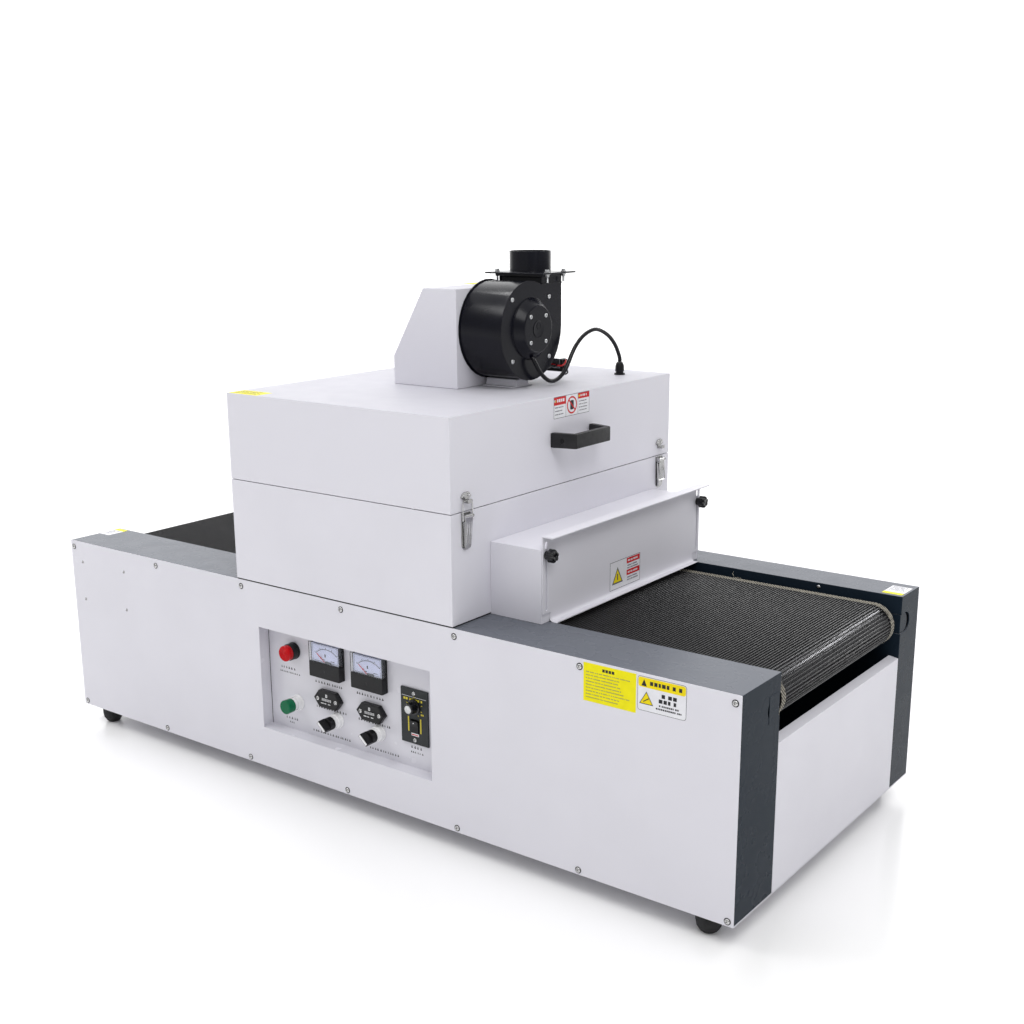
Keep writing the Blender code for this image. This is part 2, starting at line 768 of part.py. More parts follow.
def make_fan_duct(paint):
    """The slant-backed duct between the lid and the fan's inlet, open below."""
    top = 0.784
    knee = LID_TOP + 0.0445
    bottom = LID_TOP + GAP
    x0, x1, slant = -0.081, BLOWER_X0 - GAP, -0.018
    y0, y1 = -0.066, 0.102
    outline = [(x0, bottom), (x0, knee), (slant, top), (x1, top), (x1, bottom)]
    duct = loft("fan_duct", prism("Y", y0, y1, outline), paint)
    skin = SHEET
    hollow = [
        (x0 + skin, bottom - 0.01),
        (x0 + skin, knee - 0.0004),
        (slant + 0.0007, top - skin),
        (x1 - skin, top - skin),
        (x1 - skin, bottom - 0.01),
    ]
    cut(duct, lambda bm: add_loft(bm, prism("Y", y0 + skin, y1 - skin, hollow)))
    inlet = (BLOWER_Y, BLOWER_Z)
    cut(duct, lambda bm: add_rod(bm, (x1 - 0.01, *inlet), (x1 + 0.01, *inlet), 0.040, 28))


def scroll_outline(grow):
    """The spiral of the fan housing and its outlet neck, grown outwards by a margin."""
    small, large, neck = 0.0700, 0.0805, 0.0290 - grow
    points = []
    steps = 30
    start = acos(neck / (small + grow))
    for step in range(steps + 1):
        share = step / steps
        angle = start + (tau - start) * share
        reach = small + (large - small) * share ** 0.8 + grow
        points.append((BLOWER_Y + reach * cos(angle), BLOWER_Z + reach * sin(angle)))
    neck_top = 0.8030 + max(grow, 0.0) * 0.1
    points.append((BLOWER_Y + large + grow, neck_top))
    points.append((BLOWER_Y + neck, neck_top))
    return points


def make_blower(paint):
    """The fan's scroll housing: back plate with the inlet, and the wrapper with its neck."""
    rim = 0.0022
    sections = []
    for x, grow in (
        (BLOWER_X0, rim),
        (BLOWER_X0 + 0.002, rim),
        (BLOWER_X0 + 0.002, 0.0),
        (BLOWER_X1, 0.0),
    ):
        sections.append([(x, y, z) for y, z in scroll_outline(grow)])
    scroll = loft("blower_scroll", sections, paint, smooth=True)
    inner = scroll_outline(-0.0015)
    inner[-2] = (inner[-2][0], 0.82)
    inner[-1] = (inner[-1][0], 0.82)
    cut(scroll, lambda bm: add_loft(bm, prism("X", BLOWER_X0 + 0.002, BLOWER_X1 + 0.01, inner)))
    inlet = (BLOWER_Y, BLOWER_Z)
    cut(scroll, lambda bm: add_rod(bm, (BLOWER_X0 - 0.01, *inlet), (BLOWER_X0 + 0.01, *inlet), 0.038, 28))


def make_fan_motor(paint):
    """The fan's front cover with the tapered motor cap on it."""
    start = BLOWER_X1 + GAP
    face = start + 0.0020
    motor = loft("fan_motor", prism("X", start, face, scroll_outline(0.0012)), paint, smooth=True)

    def cap(bm):
        profile = ((-0.001, 0.0475), (0.002, 0.0470), (0.0125, 0.0375), (0.0140, 0.0360))
        sections = []
        for height, radius in profile:
            sections.append([(face + height, y, z) for y, z in circle((BLOWER_Y, BLOWER_Z), radius, 40)])
        add_loft(bm, sections)

    join(motor, cap)


def make_impeller(steel):
    """The fan wheel's cup; it is open towards the inlet."""
    profile = [
        (0.1215, 0.0580),
        (0.0600, 0.0580),
        (0.0600, 0.0565),
        (0.1200, 0.0565),
        (0.1200, 0.0120),
        (0.0950, 0.0120),
    ]
    impeller = turned("impeller", "X", (BLOWER_Y, BLOWER_Z), profile, steel, steps=32)
    set_origin(impeller, (0.09, BLOWER_Y, BLOWER_Z))


def make_outlet(paint):
    """The plate on the fan's neck and the round spigot for a hose."""
    x, y = 0.0870, BLOWER_Y + 0.0557
    z0, z1 = 0.8035, 0.8060
    top = BODY_BOTTOM + 0.808
    outlet = loft("outlet_spigot", prism("Z", z0, z1, centred((x, y), 0.112, 0.088)), paint)
    join(outlet, lambda bm: add_rod(bm, (x, y, z0 + 0.001), (x, y, top), 0.0325, 40))
    cut(outlet, lambda bm: add_rod(bm, (x, y, z0 - 0.01), (x, y, top + 0.01), 0.0305, 40))


def make_gland(paint):
    base = LID_TOP + GAP
    profile = [
        (base, 0.0090),
        (base + 0.0025, 0.0090),
        (base + 0.0025, 0.0066),
        (base + 0.0055, 0.0066),
        (base + 0.0055, 0.0076),
        (base + 0.0140, 0.0074),
        (base + 0.0180, 0.0062),
        (base + 0.0205, 0.0046),
    ]
    turned("cable_gland", "Z", GLAND, profile, paint, steps=12)


# The fan's lead: out of the motor cap, down, over in an arch and into the gland on the lid
LEAD_ROUTE = [
    (0.1356, 0.0085, 0.6797),
    (0.1380, 0.0088, 0.6769),
    (0.1402, 0.0099, 0.6723),
    (0.1417, 0.0129, 0.6660),
    (0.1427, 0.0185, 0.6580),
    (0.1435, 0.0275, 0.6495),
    (0.1442, 0.0395, 0.6425),
    (0.1447, 0.0520, 0.6403),
    (0.1455, 0.0660, 0.6437),
    (0.1464, 0.0790, 0.6520),
    (0.1470, 0.0885, 0.6635),
    (0.1476, 0.0975, 0.6770),
    (0.1483, 0.1085, 0.6905),
    (0.1491, 0.1255, 0.7030),
    (0.1502, 0.1450, 0.7105),
    (0.1511, 0.1630, 0.7120),
    (0.1522, 0.1825, 0.7063),
    (0.1533, 0.2010, 0.6957),
    (0.1543, 0.2155, 0.6815),
    (0.1549, 0.2245, 0.6670),
    (0.1550, 0.2278, 0.6595),
    (0.1550, 0.2280, 0.6543),
]


def make_lead(paint):
    curve = bpy.data.curves.new("fan_lead", "CURVE")
    curve.dimensions = "3D"
    curve.bevel_depth = LEAD_RADIUS
    curve.bevel_resolution = 2
    curve.use_fill_caps = True
    spline = curve.splines.new("POLY")
    spline.points.add(len(LEAD_ROUTE) - 1)
    for point, place_at in zip(spline.points, LEAD_ROUTE):
        point.co = (*place_at, 1.0)
    lead = bpy.data.objects.new("fan_lead", curve)
    bpy.context.scene.collection.objects.link(lead)
    curve.materials.append(paint)


# The controls

def make_ammeter(name, x, paint):
    front = DECK_Y - GAP
    sections = []
    for y, width, height in (
        (front - 0.0125, 0.0605, 0.0525),
        (front - 0.0105, 0.0640, 0.0560),
        (front, 0.0640, 0.0560),
        (front, 0.0450, 0.0390),
        (front + 0.0280, 0.0450, 0.0390),
    ):
        sections.append([place("Y", y, u, v) for u, v in centred((x, DIAL_Z), width, height)])
    loft(name, sections, paint)


def make_hour_meter(name, x, z, paint):
    """A counter with a long hexagonal bezel held by two screws."""
    def outline(half_length, half_flat, half_height):
        return [
            (x - half_length, z),
            (x - half_flat, z - half_height),
            (x + half_flat, z - half_height),
            (x + half_length, z),
            (x + half_flat, z + half_height),
            (x - half_flat, z + half_height),
        ]

    front = DECK_Y - GAP
    sections = []
    for y, points in (
        (front - 0.0085, outline(0.0265, 0.0165, 0.0130)),
        (front - 0.0075, outline(0.0285, 0.0175, 0.0140)),
        (front, outline(0.0285, 0.0175, 0.0140)),
        (front, outline(0.0120, 0.0119, 0.0100)),
        (front + 0.030, outline(0.0120, 0.0119, 0.0100)),
    ):
        sections.append([place("Y", y, u, v) for u, v in points])
    loft(name, sections, paint)


def make_pilot_lamp(paint):
    front = DECK_Y - GAP
    profile = [
        (front + 0.030, 0.0105),
        (front, 0.0105),
        (front, 0.0135),
        (front - 0.0135, 0.0135),
        (front - 0.0140, 0.0127),
        (front - 0.0210, 0.0127),
        (front - 0.0225, 0.0110),
    ]
    turned("pilot_lamp", "Y", PILOT_LAMP, profile, paint, steps=24)


def make_start_button(paint):
    front = DECK_Y - GAP
    profile = [
        (front + 0.016, 0.0060),
        (front - 0.016, 0.0060),
        (front - 0.016, 0.0112),
        (front - 0.029, 0.0114),
        (front - 0.030, 0.0104),
    ]
    button = turned("start_button", "Y", START_BUTTON, profile, paint, steps=24)
    set_origin(button, (START_BUTTON[0], front - 0.016, START_BUTTON[1]))


def make_selector(name, x, z, paint):
    """A rotary switch's handle: a round skirt with a raised bar across it."""
    front = DECK_Y - GAP
    steps = 24
    lean = radians(-42)

    def bar(length, thickness):
        points = []
        for step in range(steps):
            angle = tau * (step + 0.5) / steps
            u = max(-1.0, min(1.0, 1.35 * cos(angle))) * length / 2
            v = max(-1.0, min(1.0, 1.6 * sin(angle))) * thickness / 2
            points.append((x + u * cos(lean) - v * sin(lean), z + u * sin(lean) + v * cos(lean)))
        return points

    def ring(radius):
        points = []
        for u, v in circle((0.0, 0.0), radius, steps):
            points.append((x + u * cos(lean) - v * sin(lean), z + u * sin(lean) + v * cos(lean)))
        return points

    sections = []
    for y, points in (
        (front + 0.016, ring(0.0060)),
        (front - 0.0160, ring(0.0060)),
        (front - 0.0160, ring(0.0104)),
        (front - 0.0255, ring(0.0104)),
        (front - 0.0260, ring(0.0100)),
        (front - 0.0260, bar(0.0198, 0.0080)),
        (front - 0.0365, bar(0.0198, 0.0066)),
        (front - 0.0370, bar(0.0188, 0.0056)),
    ):
        sections.append([place("Y", y, u, v) for u, v in points])
    handle = loft(name, sections, paint)
    set_origin(handle, (x, front - 0.016, z))


def make_speed_controller(paint):
    front = DECK_Y - GAP
    x, z = SPEED_PLATE
    sections = []
    for y, width, height in (
        (front - 0.0030, 0.0510, 0.0850),
        (front - 0.0024, 0.0520, 0.0860),
        (front, 0.0520, 0.0860),
        (front, 0.0410, 0.0670),
        (front + 0.045, 0.0410, 0.0670),
    ):
        sections.append([place("Y", y, u, v) for u, v in centred((x, z), width, height)])
    controller = loft("speed_controller", sections, paint)
    tool_front, pocket_floor = front - 0.013, front + 0.009
    x, z = SPEED_ROCKER
    cut_box(controller, (x - 0.0082, tool_front, z - 0.0107), (x + 0.0082, pocket_floor, z + 0.0107))
    x, z = SPEED_KNOB
    cut(controller, lambda bm: add_rod(bm, (x, tool_front, z), (x, pocket_floor, z), 0.0036, 12))


def make_speed_knob(paint):
    plate = DECK_Y - GAP - 0.003
    middle = SPEED_KNOB
    sections = []
    for y, radius, depth in (
        (plate + 0.010, 0.0030, 0.0),
        (plate - 0.0008, 0.0030, 0.0),
        (plate - 0.0008, 0.0120, 0.0),
        (plate - 0.0030, 0.0118, 0.0),
        (plate - 0.0036, 0.0092, 0.05),
        (plate - 0.0135, 0.0085, 0.05),
        (plate - 0.0145, 0.0075, 0.03),
    ):
        sections.append([place("Y", y, u, v) for u, v in circle(middle, radius, 36, 9, depth)])
    knob = loft("speed_knob", sections, paint, smooth=True)
    set_origin(knob, (middle[0], plate, middle[1]))


def make_speed_rocker(paint):
    """A rocker with its lower half pressed in; it tips about an axis behind the plate."""
    x, z = SPEED_ROCKER
    plate = DECK_Y - GAP - 0.003
    outline = [
        (plate + 0.0085, z + 0.0030),
        (plate + 0.0085, z - 0.0030),
        (plate + 0.0020, z - 0.0093),
        (plate - 0.0014, z - 0.0093),
        (plate - 0.0016, z),
        (plate - 0.0036, z + 0.0093),
        (plate + 0.0010, z + 0.0094),
    ]
    sections = [[(px, y, pz) for y, pz in outline] for px in (x - 0.0077, x + 0.0077)]
    rocker = loft("speed_rocker", sections, paint)
    set_origin(rocker, (x, plate + 0.004, z))


def clear_scene():
    for piece in list(bpy.data.objects):
        bpy.data.objects.remove(piece, do_unlink=True)


def make_body(paints):
    make_rail("near_rail", NEAR_WALL, PANEL_BACK + GAP, paints["blue_paint"])
    make_rail("far_rail", FAR_WALL, -PANEL_BACK - GAP, paints["blue_paint"])
    make_panels(paints["white_paint"])
    make_end_panel("exit_end_panel", 1, paints["white_paint"])
    make_end_panel("entry_end_panel", -1, paints["white_paint"])
    corners = [(x, y) for x in (-0.613, 0.613) for y in (-0.265, 0.265)]
    for index, (x, y) in enumerate(corners, 1):
        make_foot(f"foot_{index}", x, y, paints["black_rubber"])
    make_control_panel(paints["white_paint"])


def make_conveyor(paints):
    make_belt_bed(paints["blue_paint"])
    make_belt(paints["belt_mesh"])
    make_roller("drive_roller", -ROLLER_X, True, paints["bare_steel"])
    make_roller("idle_roller", ROLLER_X, False, paints["bare_steel"])
    make_drive_motor(paints["black_paint"], paints["bare_steel"])
    make_ballast(paints["black_paint"])
    make_mains_inlet(paints["black_plastic"])


def make_lamp_box(paints):
    white = paints["white_paint"]
    make_lower_housing(white)
    for name, side, box_face, length in (
        ("exit", 1, BOX_X1, EXIT_HOOD_LENGTH),
        ("entry", -1, BOX_X0, ENTRY_HOOD_LENGTH),
    ):
        hood_face = box_face + side * length
        make_hood(f"{name}_hood", side, box_face, length, white)
        make_gate(f"{name}_gate", side, hood_face, white)
        for place_name, y in zip(("near", "far"), STUD_Y):
            make_gate_knob(f"{name}_knob_{place_name}", side, hood_face, y, paints["black_plastic"])
    make_lid(white)
    make_reflector(paints["mirror_aluminium"])
    make_lamp("lamp_1", -0.105, paints["lamp_glass"])
    make_lamp("lamp_2", 0.095, paints["lamp_glass"])
    make_lid_handle(paints["black_plastic"])
    for index, side in ((1, -1), (2, 1)):
        make_latch_lever(index, side, paints["chrome"])
        make_latch_loop(index, side, side < 0, paints["chrome"])
        make_keeper(index, side, paints["chrome"])
    make_hinge_leaf("hinge_lower_leaf", False, paints["bare_steel"])
    make_hinge_leaf("hinge_upper_leaf", True, paints["bare_steel"])


def make_fan(paints):
    black = paints["black_paint"]
    make_fan_duct(paints["white_paint"])
    make_blower(black)
    make_fan_motor(black)
    make_impeller(paints["bare_steel"])
    make_outlet(black)
    make_gland(paints["black_plastic"])
    make_lead(paints["cable_jacket"])


def make_controls(paints):
    plastic = paints["black_plastic"]
    for index, x in enumerate(AMMETERS_X, 1):
        make_ammeter(f"ammeter_{index}", x, plastic)
    for index, (x, z) in enumerate(HOUR_METERS, 1):
        make_hour_meter(f"hour_meter_{index}", x, z, plastic)
    for index, (x, z) in enumerate(SELECTORS, 1):
        make_selector(f"lamp_selector_{index}", x, z, plastic)
    make_pilot_lamp(paints["red_lens"])
    make_start_button(paints["green_plastic"])
    make_speed_controller(plastic)
    make_speed_knob(plastic)
    make_speed_rocker(plastic)


def main():
    clear_scene()
    paints = make_materials()
    make_body(paints)
    make_conveyor(paints)
    make_lamp_box(paints)
    make_fan(paints)
    make_controls(paints)


main()
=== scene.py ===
"""Looks for a benchtop conveyor oven: finishes, fasteners, labels, belt mesh, instruments and lead.

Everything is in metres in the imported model's own frame: +Z up, +X out of the tunnel, -Y the controls' side.
"""

import json
import random
from math import cos, pi, radians, sin, tau

import bmesh
import bpy
from mathutils import Matrix, Vector
from mathutils.geometry import interpolate_bezier


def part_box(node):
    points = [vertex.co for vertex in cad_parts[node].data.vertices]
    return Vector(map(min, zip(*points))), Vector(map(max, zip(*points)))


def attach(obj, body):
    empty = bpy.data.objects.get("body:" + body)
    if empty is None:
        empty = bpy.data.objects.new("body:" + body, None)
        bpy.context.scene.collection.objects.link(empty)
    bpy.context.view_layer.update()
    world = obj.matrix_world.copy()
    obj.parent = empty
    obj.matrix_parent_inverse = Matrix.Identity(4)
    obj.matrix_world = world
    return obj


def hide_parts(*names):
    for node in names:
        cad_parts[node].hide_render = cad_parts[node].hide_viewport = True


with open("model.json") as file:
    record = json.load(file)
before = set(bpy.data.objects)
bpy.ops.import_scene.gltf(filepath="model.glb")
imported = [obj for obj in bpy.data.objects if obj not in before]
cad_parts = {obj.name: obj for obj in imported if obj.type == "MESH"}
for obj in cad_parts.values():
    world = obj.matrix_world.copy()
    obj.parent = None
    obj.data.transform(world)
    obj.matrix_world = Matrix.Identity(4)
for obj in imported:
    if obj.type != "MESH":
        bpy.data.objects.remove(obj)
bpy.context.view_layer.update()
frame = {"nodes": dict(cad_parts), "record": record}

# Planes and sizes read from the frame
PANEL_LOW, PANEL_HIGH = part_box("front_panel")
BOX_LOW, BOX_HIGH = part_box("lower_housing")
LID_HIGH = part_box("lid")[1]
TRAY_LOW, TRAY_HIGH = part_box("control_panel")
RAIL_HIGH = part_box("near_rail")[1]
FAR_RAIL_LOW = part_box("far_rail")[0]
BELT_LOW, BELT_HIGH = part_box("conveyor_belt")
ROLLER_LOW, ROLLER_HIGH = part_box("idle_roller")
MOTOR_LOW, MOTOR_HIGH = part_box("fan_motor")
SCROLL_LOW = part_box("blower_scroll")[0]
DUCT_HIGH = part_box("fan_duct")[1]

# The thickness of the sheet metal, and the air between the recess floor and what stands on it
SHEET = 0.0015
GAP = 0.0003
DECK_Y = TRAY_HIGH.y - SHEET
FRONT = ("Y", PANEL_LOW.y, -1)
REAR = ("Y", -PANEL_LOW.y, 1)
DECK = ("Y", DECK_Y, -1)
LID_FACE = ("X", LID_HIGH.x, 1)
BOX_FACE = ("X", BOX_HIGH.x, 1)
LID_TOP = ("Z", LID_HIGH.z, 1)
RAIL_TOP = ("Z", RAIL_HIGH.z, 1)
DUCT_TOP = ("Z", DUCT_HIGH.z, 1)
CAP_FACE = ("X", MOTOR_HIGH.x, 1)


# The finished materials, by the short names used below
PAINTS = {}


# Camera, light and floor

def add_camera():
    """A long view from the exit end, a little above the oven."""
    right = Vector((0.79444, 0.60728, -0.0085))
    up = Vector((-0.14351, 0.20131, 0.96896))
    forward = Vector((-0.59014, 0.76856, -0.24708))
    lens = bpy.data.cameras.new("camera")
    lens.sensor_width = 36.0
    lens.lens = 46.83
    lens.shift_x = 0.01372
    lens.shift_y = 0.03217
    camera = bpy.data.objects.new("camera", lens)
    bpy.context.scene.collection.objects.link(camera)
    pose = Matrix((right, up, -forward)).transposed().to_4x4()
    pose.translation = Vector((1.33836, -1.64818, 0.90644))
    camera.matrix_world = pose
    bpy.context.scene.camera = camera


def add_softbox(name, place, target, size, power):
    light = bpy.data.lights.new(name, "AREA")
    light.shape = "RECTANGLE"
    light.size, light.size_y = size
    light.energy = power
    lamp = bpy.data.objects.new(name, light)
    bpy.context.scene.collection.objects.link(lamp)
    aim = (Vector(target) - Vector(place)).to_track_quat("-Z", "Y")
    lamp.matrix_world = Matrix.Translation(place) @ aim.to_matrix().to_4x4()


def add_sky_panel(name, direction, strength, spread):
    """Very wide soft light from far away, which falls on the whole floor alike."""
    light = bpy.data.lights.new(name, "SUN")
    light.energy = strength
    light.angle = radians(spread)
    lamp = bpy.data.objects.new(name, light)
    bpy.context.scene.collection.objects.link(lamp)
    lamp.matrix_world = Vector(direction).to_track_quat("-Z", "Y").to_matrix().to_4x4()


def add_studio():
    """A room that is brighter behind the oven and overhead, a wide sky panel and four softboxes."""
    bpy.context.scene.view_settings.view_transform = "Standard"
    world = bpy.data.worlds.new("studio")
    bpy.context.scene.world = world
    world.use_nodes = True
    nodes, links = world.node_tree.nodes, world.node_tree.links
    background = nodes["Background"]
    place = nodes.new("ShaderNodeTexCoord")
    room_light = 0.42
    total = None
    for direction, start, stop, strength in (
        ((-0.61, 0.79, 0.0), 0.35, 0.9, 1.5),
        ((0.0, 0.0, 1.0), 0.25, 0.8, 0.5),
    ):
        facing = nodes.new("ShaderNodeVectorMath")
        facing.operation = "DOT_PRODUCT"
        facing.inputs[1].default_value = direction
        spread = nodes.new("ShaderNodeMapRange")
        spread.interpolation_type = "SMOOTHSTEP"
        spread.inputs["From Min"].default_value = start
        spread.inputs["From Max"].default_value = stop
        spread.inputs["To Max"].default_value = strength
        add = nodes.new("ShaderNodeMath")
        add.inputs[0].default_value = room_light
        links.new(place.outputs["Generated"], facing.inputs[0])
        links.new(facing.outputs["Value"], spread.inputs["Value"])
        links.new(spread.outputs["Result"], add.inputs[1])
        if total:
            links.new(total, add.inputs[0])
        total = add.outputs["Value"]
    links.new(total, background.inputs["Strength"])
    background.inputs["Color"].default_value = (1.0, 1.0, 1.0, 1.0)
    add_sky_panel("overhead", (0.05, 0.3, -1.0), 0.34, 60)
    add_softbox("high_softbox", (-1.9, -1.5, 2.5), (0.0, 0.0, 0.5), (1.0, 0.7), 14)
    add_softbox("right_softbox", (1.4, -0.8, 2.1), (0.3, 0.0, 0.4), (0.9, 0.9), 10)
    add_softbox("fan_softbox", (-1.66, 0.3, 2.7), (0.0, 0.0, 0.7), (0.35, 0.6), 8)
    add_softbox("back_softbox", (0.85, 2.1, 1.35), (0.6, 0.0, 0.3), (0.9, 0.12), 3)


def add_floor():
    bpy.ops.mesh.primitive_plane_add(size=60.0, location=(0.0, 0.0, -0.0002))
    floor = bpy.context.object
    floor.name = "floor"
    floor.data.materials.append(PAINTS["floor"])


# Materials

class Finish:
    """One material's node tree, with short calls for the nodes that the finishes share."""

    def __init__(self, name, colour, roughness, metallic=0.0, **sockets):
        self.material = bpy.data.materials.new(name)
        self.material.use_nodes = True
        self.nodes = self.material.node_tree.nodes
        self.shader = self.nodes["Principled BSDF"]
        self.colour = (*colour, 1.0)
        self.set("Base Color", self.colour)
        self.set("Roughness", roughness)
        self.set("Metallic", metallic)
        for socket, value in sockets.items():
            self.set(socket.replace("_", " "), value)
        self.place = self.nodes.new("ShaderNodeTexCoord").outputs["Object"]

    def set(self, socket, value):
        self.shader.inputs[socket].default_value = value

    def link(self, source, target):
        self.material.node_tree.links.new(source, target)

    def stretched(self, scale):
        node = self.nodes.new("ShaderNodeMapping")
        node.inputs["Scale"].default_value = scale
        self.link(self.place, node.inputs["Vector"])
        return node.outputs["Vector"]

    def noise(self, scale, detail=2.0, place=None):
        node = self.nodes.new("ShaderNodeTexNoise")
        node.inputs["Scale"].default_value = scale
        node.inputs["Detail"].default_value = detail
        self.link(place or self.place, node.inputs["Vector"])
        return node.outputs["Fac"]

    def cells(self, scale, place=None):
        node = self.nodes.new("ShaderNodeTexVoronoi")
        node.inputs["Scale"].default_value = scale
        self.link(place or self.place, node.inputs["Vector"])
        return node.outputs["Distance"]

    def bands(self, direction, scale, distortion=0.0, place=None):
        node = self.nodes.new("ShaderNodeTexWave")
        node.bands_direction = direction
        node.inputs["Scale"].default_value = scale
        node.inputs["Distortion"].default_value = distortion
        self.link(place or self.place, node.inputs["Vector"])
        return node.outputs["Fac"]

    def spread(self, value, low, high, start=0.3, stop=0.7):
        node = self.nodes.new("ShaderNodeMapRange")
        for socket, number in (("From Min", start), ("From Max", stop), ("To Min", low), ("To Max", high)):
            node.inputs[socket].default_value = number
        self.link(value, node.inputs["Value"])
        return node.outputs["Result"]

    def tint(self, factor, first, second):
        node = self.nodes.new("ShaderNodeMix")
        node.data_type = "RGBA"
        node.inputs[6].default_value = (*first, 1.0)
        node.inputs[7].default_value = (*second, 1.0)
        self.link(factor, node.inputs["Factor"])
        self.link(node.outputs[2], self.shader.inputs["Base Color"])

    def vary(self, amount, scale):
        """Lets the colour drift by a small share of itself."""
        lighter = [channel * (1 + amount) for channel in self.colour[:3]]
        darker = [channel * (1 - amount) for channel in self.colour[:3]]
        self.tint(self.spread(self.noise(scale, 3.0), 0.0, 1.0), darker, lighter)

    def rough(self, low, high, scale):
        self.link(self.spread(self.noise(scale, 3.0), low, high), self.shader.inputs["Roughness"])

    def bump(self, height, strength, distance):
        node = self.nodes.new("ShaderNodeBump")
        node.inputs["Strength"].default_value = strength
        node.inputs["Distance"].default_value = distance
        self.link(height, node.inputs["Height"])
        self.link(node.outputs["Normal"], self.shader.inputs["Normal"])


def powder_coat(name, colour, low, high, peel=0.1, shine=0.5):
    finish = Finish(name, colour, (low + high) / 2, Specular_IOR_Level=shine)
    finish.vary(0.02, 7.0)
    finish.rough(low, high, 30.0)
    finish.bump(finish.noise(520.0, 2.0), peel, 0.0004)
    return finish.material


def painted_top_light_coat(name, sides, tops, low, high, shine):
    """A powder coat with another colour painted on the faces that point up in the world, whatever the pose:
    painted top light, a painted shade where the tops are darker and a painted sheen where they are lighter.
    """
    finish = Finish(name, sides, (low + high) / 2, Specular_IOR_Level=shine)
    normal = finish.nodes.new("ShaderNodeNewGeometry").outputs["Normal"]
    parts = finish.nodes.new("ShaderNodeSeparateXYZ")
    finish.link(normal, parts.inputs["Vector"])
    # Painted top light: the tops' colour is mixed in by how far the world normal points up.
    finish.tint(finish.spread(parts.outputs["Z"], 0.0, 1.0, 0.5, 0.95), sides, tops)
    finish.rough(low, high, 30.0)
    finish.bump(finish.noise(520.0, 2.0), 0.1, 0.0004)
    return finish.material


def enamel(name, colour, low, high):
    finish = Finish(name, colour, (low + high) / 2, Specular_IOR_Level=0.24)
    finish.vary(0.15, 20.0)
    finish.rough(low, high, 45.0)
    finish.bump(finish.noise(260.0, 1.0), 0.05, 0.0005)
    return finish.material


def moulded(name, colour, low, high, grain=1400.0, depth=0.15, **sockets):
    finish = Finish(name, colour, (low + high) / 2, **sockets)
    finish.vary(0.08, 60.0)
    finish.rough(low, high, 120.0)
    finish.bump(finish.cells(grain), depth, 0.0002)
    return finish.material


def metal(name, colour, low, high, grain_scale, depth):
    """Drawn or brushed metal: the grain is noise stretched along one direction."""
    finish = Finish(name, colour, (low + high) / 2, 1.0)
    grain = finish.noise(1.0, 3.0, finish.stretched(grain_scale))
    finish.vary(0.06, 90.0)
    finish.link(finish.spread(grain, low, high), finish.shader.inputs["Roughness"])
    finish.bump(grain, depth, 0.0001)
    return finish.material


def yarn(name, dark, light, scale, roughness):
    """Twisted glass yarn: fine diagonal bands that raise the surface, with the hollows between them painted
    near black as painted shade in the twist.
    """
    finish = Finish(name, light, roughness, Sheen_Weight=0.25, Sheen_Roughness=0.5)
    twist = finish.bands("DIAGONAL", scale, 2.0)
    # Painted shade: the low parts of the twist bands are tinted dark.
    finish.tint(finish.spread(twist, 0.0, 1.0, 0.15, 0.75), dark, light)
    finish.bump(twist, 0.6, 0.0006)
    return finish.material


def coated_strand(name, colour):
    """Coated glass cloth of the belt: dark, with a clean shine along each strand."""
    finish = Finish(name, colour, 0.18, Specular_IOR_Level=0.3)
    finish.vary(0.25, 150.0)
    finish.rough(0.14, 0.22, 35.0)
    finish.bump(finish.bands("Y", 75.0, 0.5), 0.05, 0.0002)
    return finish.material


def clear(name, colour, cover):
    """Clear moulding or tube: mostly see-through, with a sharp shine."""
    finish = Finish(name, colour, 0.03, Alpha=cover)
    finish.rough(0.02, 0.06, 60.0)
    return finish.material


def printed(name, colour, roughness=0.45):
    finish = Finish(name, colour, roughness, Specular_IOR_Level=0.25)
    finish.vary(0.04, 80.0)
    finish.rough(roughness - 0.05, roughness + 0.08, 150.0)
    return finish.material


